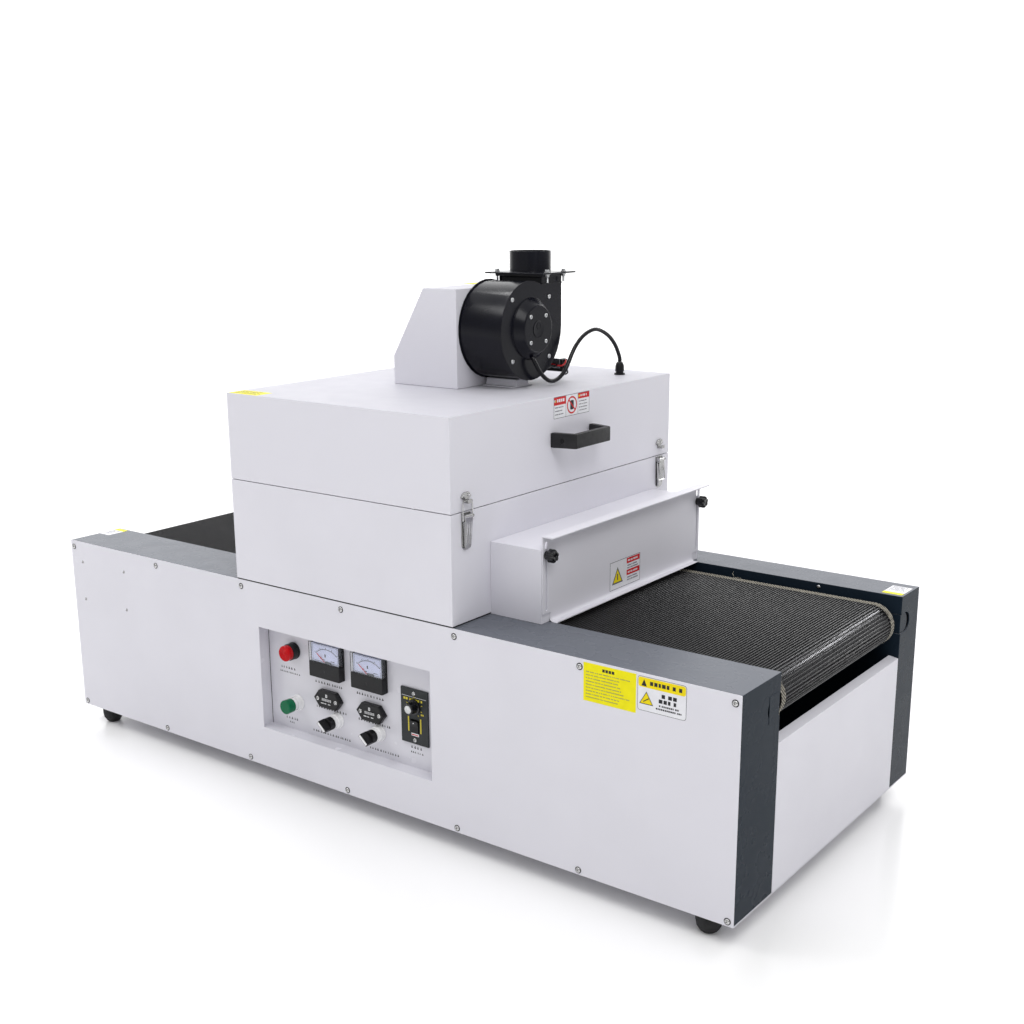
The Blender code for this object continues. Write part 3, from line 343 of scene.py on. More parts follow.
def make_finishes():
    white = (0.745, 0.737, 0.795)
    satin, dull = {"Specular_IOR_Level": 0.35}, {"Specular_IOR_Level": 0.3}
    made = {
        "white": powder_coat("white_powder_coat", white, 0.38, 0.5, 0.1, 0.22),
        # The lid's and duct's tops are painted darker: a painted shade against the overhead light.
        "lid_white": painted_top_light_coat("lid_powder_coat", white, (0.54, 0.535, 0.585), 0.45, 0.58, 0.12),
        "deck": powder_coat("satin_deck_coat", (0.7, 0.693, 0.75), 0.2, 0.28),
        # The rails' tops are painted lighter: a painted sheen that stands for the bright room reflected in
        # them.
        "blue": painted_top_light_coat("blue_grey_coat", (0.012, 0.02, 0.031), (0.135, 0.145, 0.17), 0.24, 0.31, 0.05),
        "black": enamel("black_enamel", (0.0025, 0.0028, 0.007), 0.2, 0.28),
        "plastic": moulded("black_plastic", (0.0065, 0.0065, 0.008), 0.28, 0.4, Specular_IOR_Level=0.28),
        "gloss": moulded("gloss_plastic", (0.004, 0.004, 0.006), 0.12, 0.2, 600.0, 0.05),
        "grained": moulded("grained_plastic", (0.01, 0.01, 0.012), 0.36, 0.5, 900.0, 0.3, **satin),
        "plate": moulded("dark_plate", (0.026, 0.03, 0.032), 0.4, 0.55, **dull),
        "rubber": moulded("foot_rubber", (0.01, 0.01, 0.011), 0.65, 0.85, 700.0, 0.3),
        "jacket": moulded("cable_jacket", (0.004, 0.004, 0.006), 0.14, 0.22, 300.0, 0.06, **dull),
        "steel": metal("bright_steel", (0.58, 0.58, 0.58), 0.12, 0.22, (300.0, 300.0, 60.0), 0.1),
        "pressed": metal("pressed_steel", (0.42, 0.42, 0.42), 0.12, 0.22, (90.0, 900.0, 40.0), 0.15),
        "roller": metal("roller_metal", (0.2, 0.2, 0.21), 0.1, 0.18, (400.0, 30.0, 400.0), 0.1),
        "zinc": metal("zinc_plate", (0.62, 0.63, 0.64), 0.26, 0.36, (60.0, 900.0, 60.0), 0.05),
        "mirror": metal("mirror_aluminium", (0.86, 0.87, 0.89), 0.05, 0.14, (30.0, 400.0, 30.0), 0.04),
        "strand": coated_strand("belt_strand", (0.007, 0.007, 0.009)),
        "warp": moulded("belt_warp", (0.012, 0.012, 0.013), 0.45, 0.6, **dull),
        "bed": moulded("slider_bed", (0.012, 0.012, 0.014), 0.45, 0.6, 500.0, 0.1, Specular_IOR_Level=0.12),
        "binding": yarn("binding_yarn", (0.03, 0.027, 0.022), (0.42, 0.39, 0.32), 130.0, 0.8),
        "collar": moulded("white_collar", (0.86, 0.86, 0.87), 0.12, 0.2, Coat_Weight=0.4),
        "red": moulded("red_lens", (0.52, 0.0, 0.004), 0.12, 0.2, 500.0, 0.1, Specular_IOR_Level=0.2),
        "green": moulded("green_cap", (0.0, 0.125, 0.05), 0.12, 0.22, 700.0, 0.1, Specular_IOR_Level=0.2),
        "window": clear("clear_window", (0.8, 0.84, 0.9), 0.1),
        "quartz": clear("quartz_tube", (0.85, 0.88, 0.92), 0.45),
        "ceramic": moulded("lamp_ceramic", (0.75, 0.73, 0.68), 0.5, 0.7),
        "dial": printed("dial_card", (0.7, 0.73, 0.95), 0.6),
        "paper_white": printed("label_white", (0.8, 0.8, 0.84), 0.35),
        "paper_yellow": printed("label_yellow", (0.88, 0.8, 0.0), 0.5),
        "amber": printed("label_amber", (0.88, 0.7, 0.0), 0.5),
        "ink_black": printed("ink_black", (0.02, 0.02, 0.024), 0.5),
        "ink_grey": printed("ink_grey", (0.1, 0.1, 0.12), 0.5),
        "ink_faint": printed("ink_faint", (0.34, 0.33, 0.1), 0.5),
        "ink_white": printed("ink_white", (0.82, 0.82, 0.84), 0.45),
        "ink_red": printed("ink_red", (0.58, 0.008, 0.012), 0.4),
        "ink_yellow": printed("ink_yellow", (0.72, 0.6, 0.05), 0.45),
        "wire_red": moulded("red_wire", (0.6, 0.01, 0.015), 0.3, 0.4),
        "socket": moulded("recess_grey", (0.3, 0.3, 0.32), 0.5, 0.6),
    }
    floor = Finish("studio_floor", (0.97, 0.97, 0.97), 0.3)
    floor.rough(0.16, 0.22, 1.5)
    made["floor"] = floor.material
    return made


# Modelling tools

def place(axis, along, u, v):
    """A point from its place along an axis and its two other coordinates, in X, Y, Z order."""
    if axis == "X":
        return (along, u, v)
    if axis == "Y":
        return (u, along, v)
    return (u, v, along)


def rectangle(u0, u1, v0, v1):
    return [(u0, v0), (u1, v0), (u1, v1), (u0, v1)]


def rounded(u0, u1, v0, v1, radius, steps=4):
    """A rectangle with round corners."""
    left, right, bottom, top = u0 + radius, u1 - radius, v0 + radius, v1 - radius
    points = []
    for quarter, (u, v) in enumerate(((right, top), (left, top), (left, bottom), (right, bottom))):
        for step in range(steps + 1):
            angle = pi / 2 * (quarter + step / steps)
            points.append((u + radius * cos(angle), v + radius * sin(angle)))
    return points


def circle(u, v, radius, steps=24):
    return [(u + radius * cos(tau * k / steps), v + radius * sin(tau * k / steps)) for k in range(steps)]


def add_rings(bm, rings, closed=False, caps=True):
    """Skins a row of rings, each with the same number of points."""
    made = [[bm.verts.new(point) for point in ring] for ring in rings]
    count = len(made[0])
    pairs = list(zip(made, made[1:]))
    if closed:
        pairs.append((made[-1], made[0]))
    for ring, following in pairs:
        for i in range(count):
            j = (i + 1) % count
            bm.faces.new((ring[i], ring[j], following[j], following[i]))
    if caps and not closed:
        bm.faces.new(made[0])
        bm.faces.new(made[-1])


def add_slab(bm, plane, outline, low, high):
    """An outline on a plane, made solid between two heights above that plane."""
    axis, level, way = plane
    add_rings(bm, [[place(axis, level + way * lift, u, v) for u, v in outline] for lift in (low, high)])


def add_lathe(bm, plane, middle, rings, steps=24, turn=0.0):
    """A turned shape standing on a plane. A ring is its height and its radius, or a function of the angle."""
    axis, level, way = plane
    skins = []
    for height, reach in rings:
        ring = []
        for k in range(steps):
            angle = tau * k / steps + turn
            radius = reach(angle - turn) if callable(reach) else reach
            u, v = middle[0] + radius * cos(angle), middle[1] + radius * sin(angle)
            ring.append(place(axis, level + way * height, u, v))
        skins.append(ring)
    add_rings(bm, skins)


def add_block(bm, low, high):
    outline = rectangle(low[0], high[0], low[1], high[1])
    add_rings(bm, [[(x, y, z) for x, y in outline] for z in (low[2], high[2])])


def new_piece(name, bm, paint, body, angle=32, bevel=0.0):
    bmesh.ops.recalc_face_normals(bm, faces=bm.faces)
    mesh = bpy.data.meshes.new(name)
    bm.to_mesh(mesh)
    bm.free()
    mesh.materials.append(PAINTS[paint])
    mesh.shade_smooth()
    mesh.set_sharp_from_angle(angle=radians(angle))
    piece = bpy.data.objects.new(name, mesh)
    bpy.context.scene.collection.objects.link(piece)
    if bevel:
        add_bevel(piece, bevel)
    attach(piece, body)
    return piece


def add_bevel(piece, width, angle=32):
    bevel = piece.modifiers.new("rounded_edges", "BEVEL")
    bevel.width = width
    bevel.segments = 3
    bevel.limit_method = "ANGLE"
    bevel.angle_limit = radians(angle)
    bevel.harden_normals = True


def body_of(node):
    for body, members in frame["record"]["behaviour"]["bodies"].items():
        if node in members:
            return body
    return None


def cross_recess(reach, arm):
    """The outline of a cross-shaped driver recess, as a radius for each angle."""
    def radius(angle):
        across = min(abs(sin(angle)), abs(cos(angle)))
        return min(reach, arm / max(across, 0.05))
    return radius


def add_screw(bm, plane, middle, radius, turn=0.3, low=False):
    """A domed screw head with a cross recess."""
    rise = 0.3 if low else 0.55
    outline = cross_recess(radius * 0.52, radius * 0.13)
    rings = [(-0.0004, radius)]
    for step in range(4):
        angle = pi / 2 * step / 4
        rings.append((radius * rise * (0.25 + 0.75 * sin(angle)), radius * (0.12 + 0.88 * cos(angle * 0.86))))
    rings += [(radius * rise, outline), (radius * rise * 0.35, lambda angle: outline(angle) * 0.7)]
    add_lathe(bm, plane, middle, rings, 24, turn)


def add_hex(bm, plane, middle, width, low, high, turn=0.0):
    """A hexagonal nut or head with a chamfered top."""
    shoulder = high * 0.85 + low * 0.15
    rings = [(low, width / 2), (shoulder, width / 2), (high, width * 0.44)]
    add_lathe(bm, plane, middle, rings, 6, turn)


def add_text_lines(bm, plane, u0, u1, top, lines, pitch, height, seed, ragged=0.25, lift=0.00025):
    """Rows of small blocks that stand for print, with no letters in them."""
    chance = random.Random(seed)
    for line in range(lines):
        v = top - line * pitch
        end = u1 - (u1 - u0) * ragged * chance.random()
        u = u0
        while u < end - height:
            width = height * (0.6 + 0.5 * chance.random())
            stop = min(u + width, end)
            add_slab(bm, plane, rectangle(u, stop, v - height, v), 0.0, lift)
            u = stop + height * (0.3 if chance.random() < 0.75 else 0.9)


# Sheet metal and other nodes, in the shape of the frame apart from the lower lips of the gates

def clean_copy(node):
    """A node's mesh without doubled points or seams across flat faces."""
    bm = bmesh.new()
    bm.from_mesh(frame["nodes"][node].data)
    bmesh.ops.remove_doubles(bm, verts=bm.verts, dist=0.000002)
    bmesh.ops.dissolve_limit(bm, angle_limit=radians(0.5), verts=bm.verts, edges=bm.edges)
    return bm


def soften(node, paint, width, angle=32):
    """A copy of a node with its hard edges rounded, which stands for the node."""
    bm = clean_copy(node)
    piece = new_piece(f"{node}_shell", bm, paint, body_of(node), angle, width)
    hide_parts(node)


def make_gate_sheet(gate, side, paint):
    """The gate with its lower edge rolled out into a flat lip between the rails."""
    lip_radius, lip_gap, lip_setback, lip_rise = 0.005, 0.002, 0.005, 0.014
    low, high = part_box(gate)
    back = low.x if side > 0 else high.x
    face = back + side * SHEET
    cut = low.z + lip_rise
    near, far = RAIL_HIGH.y + lip_gap, FAR_RAIL_LOW.y - lip_gap
    bm = clean_copy(gate)
    for point, normal, below in (
        ((0, 0, cut), (0, 0, -1), True),
        ((0, near, 0), (0, 1, 0), False),
        ((0, far, 0), (0, 1, 0), False),
    ):
        everything = list(bm.verts) + list(bm.edges) + list(bm.faces)
        where = {"dist": 0.000001, "plane_co": point, "plane_no": normal}
        bmesh.ops.bisect_plane(bm, geom=everything, clear_outer=below, **where)
    edge = [vert for vert in bm.verts if abs(vert.co.z - cut) < 0.000005]
    fronts, backs = (
        sorted((vert for vert in edge if abs(vert.co.x - x) < 0.0003), key=lambda vert: vert.co.y)
        for x in (face, back)
    )
    for k in range(len(fronts) - 1):
        across = [backs[k], fronts[k], fronts[k + 1], backs[k + 1]]
        if near - 0.0001 < fronts[k].co.y < far - 0.0001:
            ring = across
        else:
            bm.faces.new(across)
    turned = []
    for k in range(7):
        angle = radians(15 * k)
        out, drop = lip_radius * (1 - cos(angle)), lip_radius * sin(angle)
        turned.append((side * out, low.z + SHEET + lip_radius - drop, angle))
    turned.append((side * (high.x - low.x - lip_setback - SHEET), low.z + SHEET, pi / 2))
    for shift, z, angle in turned:
        inner = (face + shift, z)
        outer = (inner[0] - side * SHEET * cos(angle), inner[1] - SHEET * sin(angle))
        following = []
        for vert, (x, height) in zip(ring, (outer, inner, inner, outer)):
            following.append(bm.verts.new((x, vert.co.y, height)))
        for i in range(4):
            j = (i + 1) % 4
            bm.faces.new((ring[i], ring[j], following[j], following[i]))
        ring = following
    bm.faces.new(ring)
    piece = new_piece(f"{gate}_shell", bm, paint, gate, 32, 0.0004)
    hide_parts(gate)


def repaint(node, paint):
    slots = frame["nodes"][node].material_slots
    for entry in slots:
        entry.material = PAINTS[paint]
    if not slots:
        frame["nodes"][node].data.materials.append(PAINTS[paint])


def finish_nodes():
    white = "front_panel rear_panel exit_end_panel entry_end_panel lower_housing exit_hood entry_hood"
    for node in white.split():
        soften(node, "white", 0.0006)
    make_gate_sheet("exit_gate", 1, "white")
    make_gate_sheet("entry_gate", -1, "white")
    for node in ("lid", "fan_duct"):
        soften(node, "lid_white", 0.0006)
    for node in ("near_rail", "far_rail"):
        soften(node, "blue", 0.0007)
    for node in ("blower_scroll", "fan_motor", "outlet_spigot"):
        soften(node, "black", 0.0006, 40)
    plain = {
        "white": "bottom_plate",
        "deck": "control_panel",
        "bed": "belt_bed",
        "black": "drive_motor lamp_ballast",
        "roller": "drive_roller idle_roller impeller",
        "zinc": "motor_sprocket hinge_lower_leaf hinge_upper_leaf",
        "steel": "latch_loop_1 latch_loop_2",
        "pressed": "latch_keeper_1 latch_keeper_2",
        "plastic": "mains_inlet cable_gland speed_rocker",
        "gloss": "speed_knob",
        "rubber": "foot_1 foot_2 foot_3 foot_4",
        "mirror": "lamp_reflector",
        "quartz": "lamp_1 lamp_2",
    }
    for paint, nodes in plain.items():
        for node in nodes.split():
            repaint(node, paint)


# The fan's lead

LEAD_DIAMETER = 0.0065
LEAD_ROUTE = [
    (0.1356, 0.0085, 0.6797),
    (0.138, 0.0088, 0.6769),
    (0.1402, 0.0099, 0.6723),
    (0.1417, 0.0129, 0.666),
    (0.1427, 0.0185, 0.658),
    (0.1435, 0.0275, 0.6495),
    (0.1442, 0.0395, 0.6425),
    (0.1447, 0.052, 0.6403),
    (0.1455, 0.066, 0.6437),
    (0.1464, 0.079, 0.652),
    (0.147, 0.0885, 0.6635),
    (0.1476, 0.0975, 0.677),
    (0.1483, 0.1085, 0.6905),
    (0.1491, 0.1255, 0.703),
    (0.1502, 0.145, 0.7105),
    (0.1511, 0.163, 0.712),
    (0.1522, 0.1825, 0.7063),
    (0.1533, 0.201, 0.6957),
    (0.1543, 0.2155, 0.6815),
    (0.1549, 0.2245, 0.667),
    (0.155, 0.2278, 0.6595),
    (0.155, 0.228, 0.6543),
]


def smooth_route(points, per_span):
    """Points on one smooth curve through all the route's points."""
    route = [Vector(point) for point in points]
    result = []
    for i in range(len(route) - 1):
        before = route[max(i - 1, 0)]
        start, end = route[i], route[i + 1]
        after = route[min(i + 2, len(route) - 1)]
        handle_a = start + (end - before) / 6
        handle_b = end - (after - start) / 6
        result += interpolate_bezier(start, handle_a, handle_b, end, per_span + 1)[:-1]
    return result + [route[-1]]


def new_tube(name, route, per_span, diameter, resolution, paint, body):
    """A round cord, wire or thread on a smooth route. Gives the piece and the points of its middle line."""
    points = smooth_route(route, per_span)
    curve = bpy.data.curves.new(name, "CURVE")
    curve.dimensions = "3D"
    curve.bevel_depth = diameter / 2
    curve.bevel_resolution = resolution
    curve.use_fill_caps = True
    spline = curve.splines.new("POLY")
    spline.points.add(len(points) - 1)
    for point, where in zip(spline.points, points):
        point.co = (*where, 1.0)
    curve.materials.append(PAINTS[paint])
    tube = bpy.data.objects.new(name, curve)
    bpy.context.scene.collection.objects.link(tube)
    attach(tube, body)
    return tube, points


def make_lead():
    lead, points = new_tube("lead_of_fan", LEAD_ROUTE, 4, LEAD_DIAMETER, 5, "jacket", "lid")
    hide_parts("fan_lead")


# The body

def make_panel_screws():
    """Button-head screws, each on a thin dark ring that is a painted contact shadow under its head, along the
    top and bottom of the long panels.
    """
    bm, shadow_rings = bmesh.new(), bmesh.new()
    for plane in (FRONT, REAR):
        for row, z in enumerate((PANEL_HIGH.z - 0.011, PANEL_LOW.z + 0.007)):
            for column, x in enumerate((-0.6515, -0.427, -0.217, 0.0, 0.217, 0.427, 0.6515)):
                add_screw(bm, plane, (x, z), 0.0038, 0.4 + column + 2 * row)
                # A thin black ring round each head: a painted contact shadow.
                add_lathe(shadow_rings, plane, (x, z), [(-0.0002, 0.0049), (0.0003, 0.0049), (0.0004, 0.0045)], 24)
    add_screw(bm, ("Y", FAR_RAIL_LOW.y, -1), (0.5274, 0.3315), 0.0032, 0.9)
    new_piece("panel_screws", bm, "steel", "base", 40)
    new_piece("panel_shadow_rings", shadow_rings, "plastic", "base")
    bm = bmesh.new()
    flush = [(-0.0003, 0.0026), (0.0003, 0.0026), (0.0005, 0.0021), (0.0001, 0.0009)]
    for x in (-0.63, -0.515):
        for z in (0.2335, 0.3015):
            add_lathe(bm, FRONT, (x, z), flush, 16)
    new_piece("motor_plate_screws", bm, "pressed", "base")


def make_gasket_shadow_strips():
    # Black rubber strips in the 2 mm gap between the housing and the rails: a gasket, and also a painted
    # shadow for the dark line of that gap.
    bm = bmesh.new()
    inset = 0.0006
    for y0, y1 in ((BOX_LOW.y + inset, RAIL_HIGH.y - 0.001), (FAR_RAIL_LOW.y + 0.001, BOX_HIGH.y - inset)):
        low = (BOX_LOW.x + inset, y0, RAIL_HIGH.z + 0.0001)
        add_block(bm, low, (BOX_HIGH.x - inset, y1, BOX_LOW.z - 0.0001))
    new_piece("box_gasket_shadow_strip", bm, "rubber", "base")


def make_recess_seam_shadow():
    """A black strip where the tray's floor meets its left wall: a painted shadow for the dark crease of the
    open seam there.
    """
    bm = bmesh.new()
    left = TRAY_LOW.x + SHEET
    outline = rectangle(left, left + 0.0008, TRAY_LOW.z + SHEET, TRAY_HIGH.z - SHEET)
    add_slab(bm, DECK, outline, 0.0, 0.0003)
    new_piece("recess_seam_shadow", bm, "plastic", "base")


def make_slot_covers():
    """Thin plates over the near rail's axle slots."""
    bm = bmesh.new()
    middle = (ROLLER_LOW.z + ROLLER_HIGH.z) / 2
    left, right, half = RAIL_HIGH.y - 0.031, RAIL_HIGH.y - 0.0035, 0.019
    for side in (-1, 1):
        outline = rounded(left, right, middle - half, middle + half, 0.002)
        add_slab(bm, ("X", side * RAIL_HIGH.x, side), outline, 0.0, 0.0004)
    new_piece("slot_covers", bm, "blue", "base", bevel=0.0002)


def make_axle_blocks():
    """A sliding block in each rail's end slot, which carries the roller's axle."""
    bm = bmesh.new()
    middle = (ROLLER_LOW.z + ROLLER_HIGH.z) / 2
    axle_x = (ROLLER_LOW.x + ROLLER_HIGH.x) / 2
    half = 0.0143
    for side in (-1, 1):
        plane = ("X", side * RAIL_HIGH.x, side)
        for wall, out in ((RAIL_HIGH.y, -1), (FAR_RAIL_LOW.y, 1)):
            outline = [(wall + out * 0.0005, middle - half), (wall + out * 0.0155, middle - half)]
            for step in range(7):
                angle = -pi / 2 + pi * step / 6
                outline.append((wall + out * (0.0155 + 0.012 * cos(angle)), middle + half * sin(angle)))
            outline += [(wall + out * 0.0155, middle + half), (wall + out * 0.0005, middle + half)]
            add_slab(bm, plane, outline, -(RAIL_HIGH.x - axle_x) + 0.0085, -0.0012)
    new_piece("axle_blocks", bm, "blue", "base", bevel=0.0005)


# The belt

BELT_RADIUS = (BELT_HIGH.z - BELT_LOW.z) / 2 - 0.0005
BELT_MIDDLE_Z = (BELT_HIGH.z + BELT_LOW.z) / 2
WRAP_X = BELT_HIGH.x - (BELT_HIGH.z - BELT_LOW.z) / 2


def belt_point(travel, radius):
    """The X and Z of a distance along the belt's loop."""
    straight = 2 * WRAP_X
    arc = pi * BELT_RADIUS
    travel = travel % (2 * (straight + arc))
    side = 1 if travel < straight + arc else -1
    travel = travel if side > 0 else travel - straight - arc
    if travel < straight:
        return side * (travel - WRAP_X), BELT_MIDDLE_Z + side * radius
    angle = side * pi / 2 - (travel - straight) / BELT_RADIUS
    return side * WRAP_X + radius * cos(angle), BELT_MIDDLE_Z + radius * sin(angle)


def loop_stations(count):
    """Distances along the loop that need a ring of points: the ends of the straights and the two wraps."""
    straight = 2 * WRAP_X
    arc = pi * BELT_RADIUS
    stations = []
    for half in range(2):
        start = half * (straight + arc)
        stations += [start + straight * k / 8 for k in range(8)]
        stations += [start + straight + arc * k / count for k in range(count)]
    return stations


def add_loop_band(bm, section, stations):
    """A closed band round the belt's loop; the section is a list of (y, height above the middle)."""
    rings = []
    for travel in stations:
        places = [(y, belt_point(travel, BELT_RADIUS + rise)) for y, rise in section]
        rings.append([(x, y, z) for y, (x, z) in places])
    add_rings(bm, rings, closed=True)


def make_belt():
    """Round cross strands, thin long strands, and at each edge a band with three rows of stitching."""
    y0, y1 = BELT_LOW.y, BELT_HIGH.y
    binding, pitch, spacing = 0.012, 0.0049, 0.0042
    around = 4 * WRAP_X + tau * BELT_RADIUS
    count = round(around / pitch)
    profile = [(0.001 * cos(pi * k / 6), -0.0004 + 0.0016 * sin(pi * k / 6)) for k in range(7)]
    bm = bmesh.new()
    for k in range(count):
        travel = around * k / count
        outline = [belt_point(travel + along, BELT_RADIUS + rise) for along, rise in profile]
        add_rings(bm, [[(x, y, z) for x, z in outline] for y in (y0 + 0.01, y1 - 0.01)])
    weft = new_piece("belt_cross_strands", bm, "strand", "base", 50)
    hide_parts("conveyor_belt")

    bm = bmesh.new()
    stations = loop_stations(14)
    width = y1 - y0 - 2 * binding
    lanes = round(width / spacing)
    for lane in range(lanes + 1):
        y = y0 + binding + width * lane / lanes
        add_loop_band(bm, rectangle(y - 0.0003, y + 0.0003, -0.0004, 0.0001), stations)
    new_piece("belt_long_strands", bm, "warp", "base", 50)

    stations = loop_stations(28)
    band = [(0.0, -0.0004), (0.0, 0.0004), (binding, 0.0004), (binding, -0.0004)]
    rope = [(0.0013 * cos(tau * k / 8), 0.0006 + 0.001 * sin(tau * k / 8)) for k in range(8)]
    for name, start, way in (("near", y0, 1), ("far", y1, -1)):
        bm = bmesh.new()
        add_loop_band(bm, [(start + way * y, rise) for y, rise in band], stations)
        new_piece(f"belt_edge_band_{name}", bm, "warp", "base", 60)
        bm = bmesh.new()
        for row in (0.0016, 0.0056, 0.0096):
            add_loop_band(bm, [(start + way * (row + y), rise) for y, rise in rope], stations)
        new_piece(f"belt_binding_{name}", bm, "binding", "base", 60)


def make_loose_threads():
    """Ends of the binding's stitching that have worked loose."""
    routes = (
        [(0.39, 0.204, 0.3265), (0.389, 0.206, 0.329), (0.3862, 0.207, 0.333), (0.388, 0.2075, 0.3362)],
        [(0.39, 0.204, 0.3265), (0.396, 0.2066, 0.328), (0.401, 0.2072, 0.3272)],
        [(0.652, -0.169, 0.282), (0.653, -0.171, 0.278), (0.6535, -0.1745, 0.275), (0.653, -0.179, 0.274)],
        [(-0.51, 0.204, 0.3265), (-0.512, 0.2062, 0.33), (-0.516, 0.207, 0.3315)],
    )
    for index, route in enumerate(routes, 1):
        new_tube(f"loose_thread_{index}", route, 4, 0.0009, 2, "binding", "base")


# Labels

def make_front_labels():
    """The yellow notice and the white warning label at the panel's exit end."""
    yellow, white, edge, amber, black, faint = (bmesh.new() for _ in range(6))
    add_slab(yellow, FRONT, rectangle(0.4332, 0.5128, 0.2826, 0.3348), -0.0001, 0.00012)
    add_slab(white, FRONT, rounded(0.5155, 0.5847, 0.289, 0.3335, 0.0035), -0.0001, 0.00012)
    add_slab(edge, FRONT, rounded(0.5149, 0.5853, 0.2884, 0.3341, 0.004), -0.0001, 0.00008)
    add_slab(amber, FRONT, rounded(0.5161, 0.5841, 0.32, 0.3329, 0.003), 0.0, 0.00018)
    add_slab(amber, FRONT, [(0.5194, 0.2985), (0.5366, 0.2985), (0.528, 0.313)], 0.0, 0.00022)
    add_slab(black, FRONT, [(0.5178, 0.2975), (0.5382, 0.2975), (0.528, 0.3148)], 0.0, 0.00018)
    arrow = [(0.523, 0.301), (0.524, 0.3002), (0.5322, 0.3056), (0.5314, 0.3066)]
    add_slab(black, FRONT, arrow, 0.0, 0.00026)
    add_slab(black, FRONT, [(0.5205, 0.3215), (0.5285, 0.3215), (0.5245, 0.3305)], 0.0, 0.00022)
    for u0, u1, top, pitch, height, seed, ragged, lift in (
        (0.533, 0.581, 0.329, 0.008, 0.0052, 3, 0.05, 0.00022),
        (0.55, 0.573, 0.3155, 0.008, 0.005, 5, 0.1, 0.0002),
        (0.546, 0.577, 0.3085, 0.008, 0.005, 8, 0.1, 0.0002),
        (0.5465, 0.5775, 0.3008, 0.005, 0.0022, 11, 0.1, 0.0002),
        (0.542, 0.581, 0.2965, 0.005, 0.0022, 12, 0.05, 0.0002),
    ):
        add_text_lines(black, FRONT, u0, u1, top, 1, pitch, height, seed, ragged, lift)
    for k in range(4):
        u = 0.462 + 0.0048 * k
        add_slab(black, FRONT, rectangle(u, u + 0.0038, 0.3265, 0.3305), 0.0, 0.0002)
    add_text_lines(faint, FRONT, 0.437, 0.508, 0.3235, 9, 0.0043, 0.0015, 21, 0.35, 0.0002)
    for name, bm, paint in (
        ("small_print", faint, "ink_faint"),
        ("yellow", yellow, "paper_yellow"),
        ("edge", edge, "ink_grey"),
        ("white", white, "paper_white"),
        ("amber", amber, "amber"),
        ("print", black, "ink_black"),
    ):
        new_piece(f"front_label_{name}", bm, paint, "base")


def warning_triangle(black, amber, plane, u, v, size):
    """A black-edged yellow triangle with a plain bar in it."""
    for bm, wide, foot, top, lift in ((black, 1, 0.85, 0.85, 0.00018), (amber, 0.76, 0.7, 0.58, 0.00022)):
        low = v - size * foot
        add_slab(bm, plane, [(u - size * wide, low), (u + size * wide, low), (u, v + size * top)], 0.0, lift)
    bar = rectangle(u - size * 0.1, u + size * 0.1, v - size * 0.5, v + size * 0.15)
    add_slab(black, plane, bar, 0.0, 0.00026)


def add_frame_line(bm, plane, u0, u1, v0, v1, width, lift):
    for outline in (
        rectangle(u0, u1, v0, v0 + width),
        rectangle(u0, u1, v1 - width, v1),
        rectangle(u0, u0 + width, v0 + width, v1 - width),
        rectangle(u1 - width, u1, v0 + width, v1 - width),
    ):
        add_slab(bm, plane, outline, 0.0, lift)


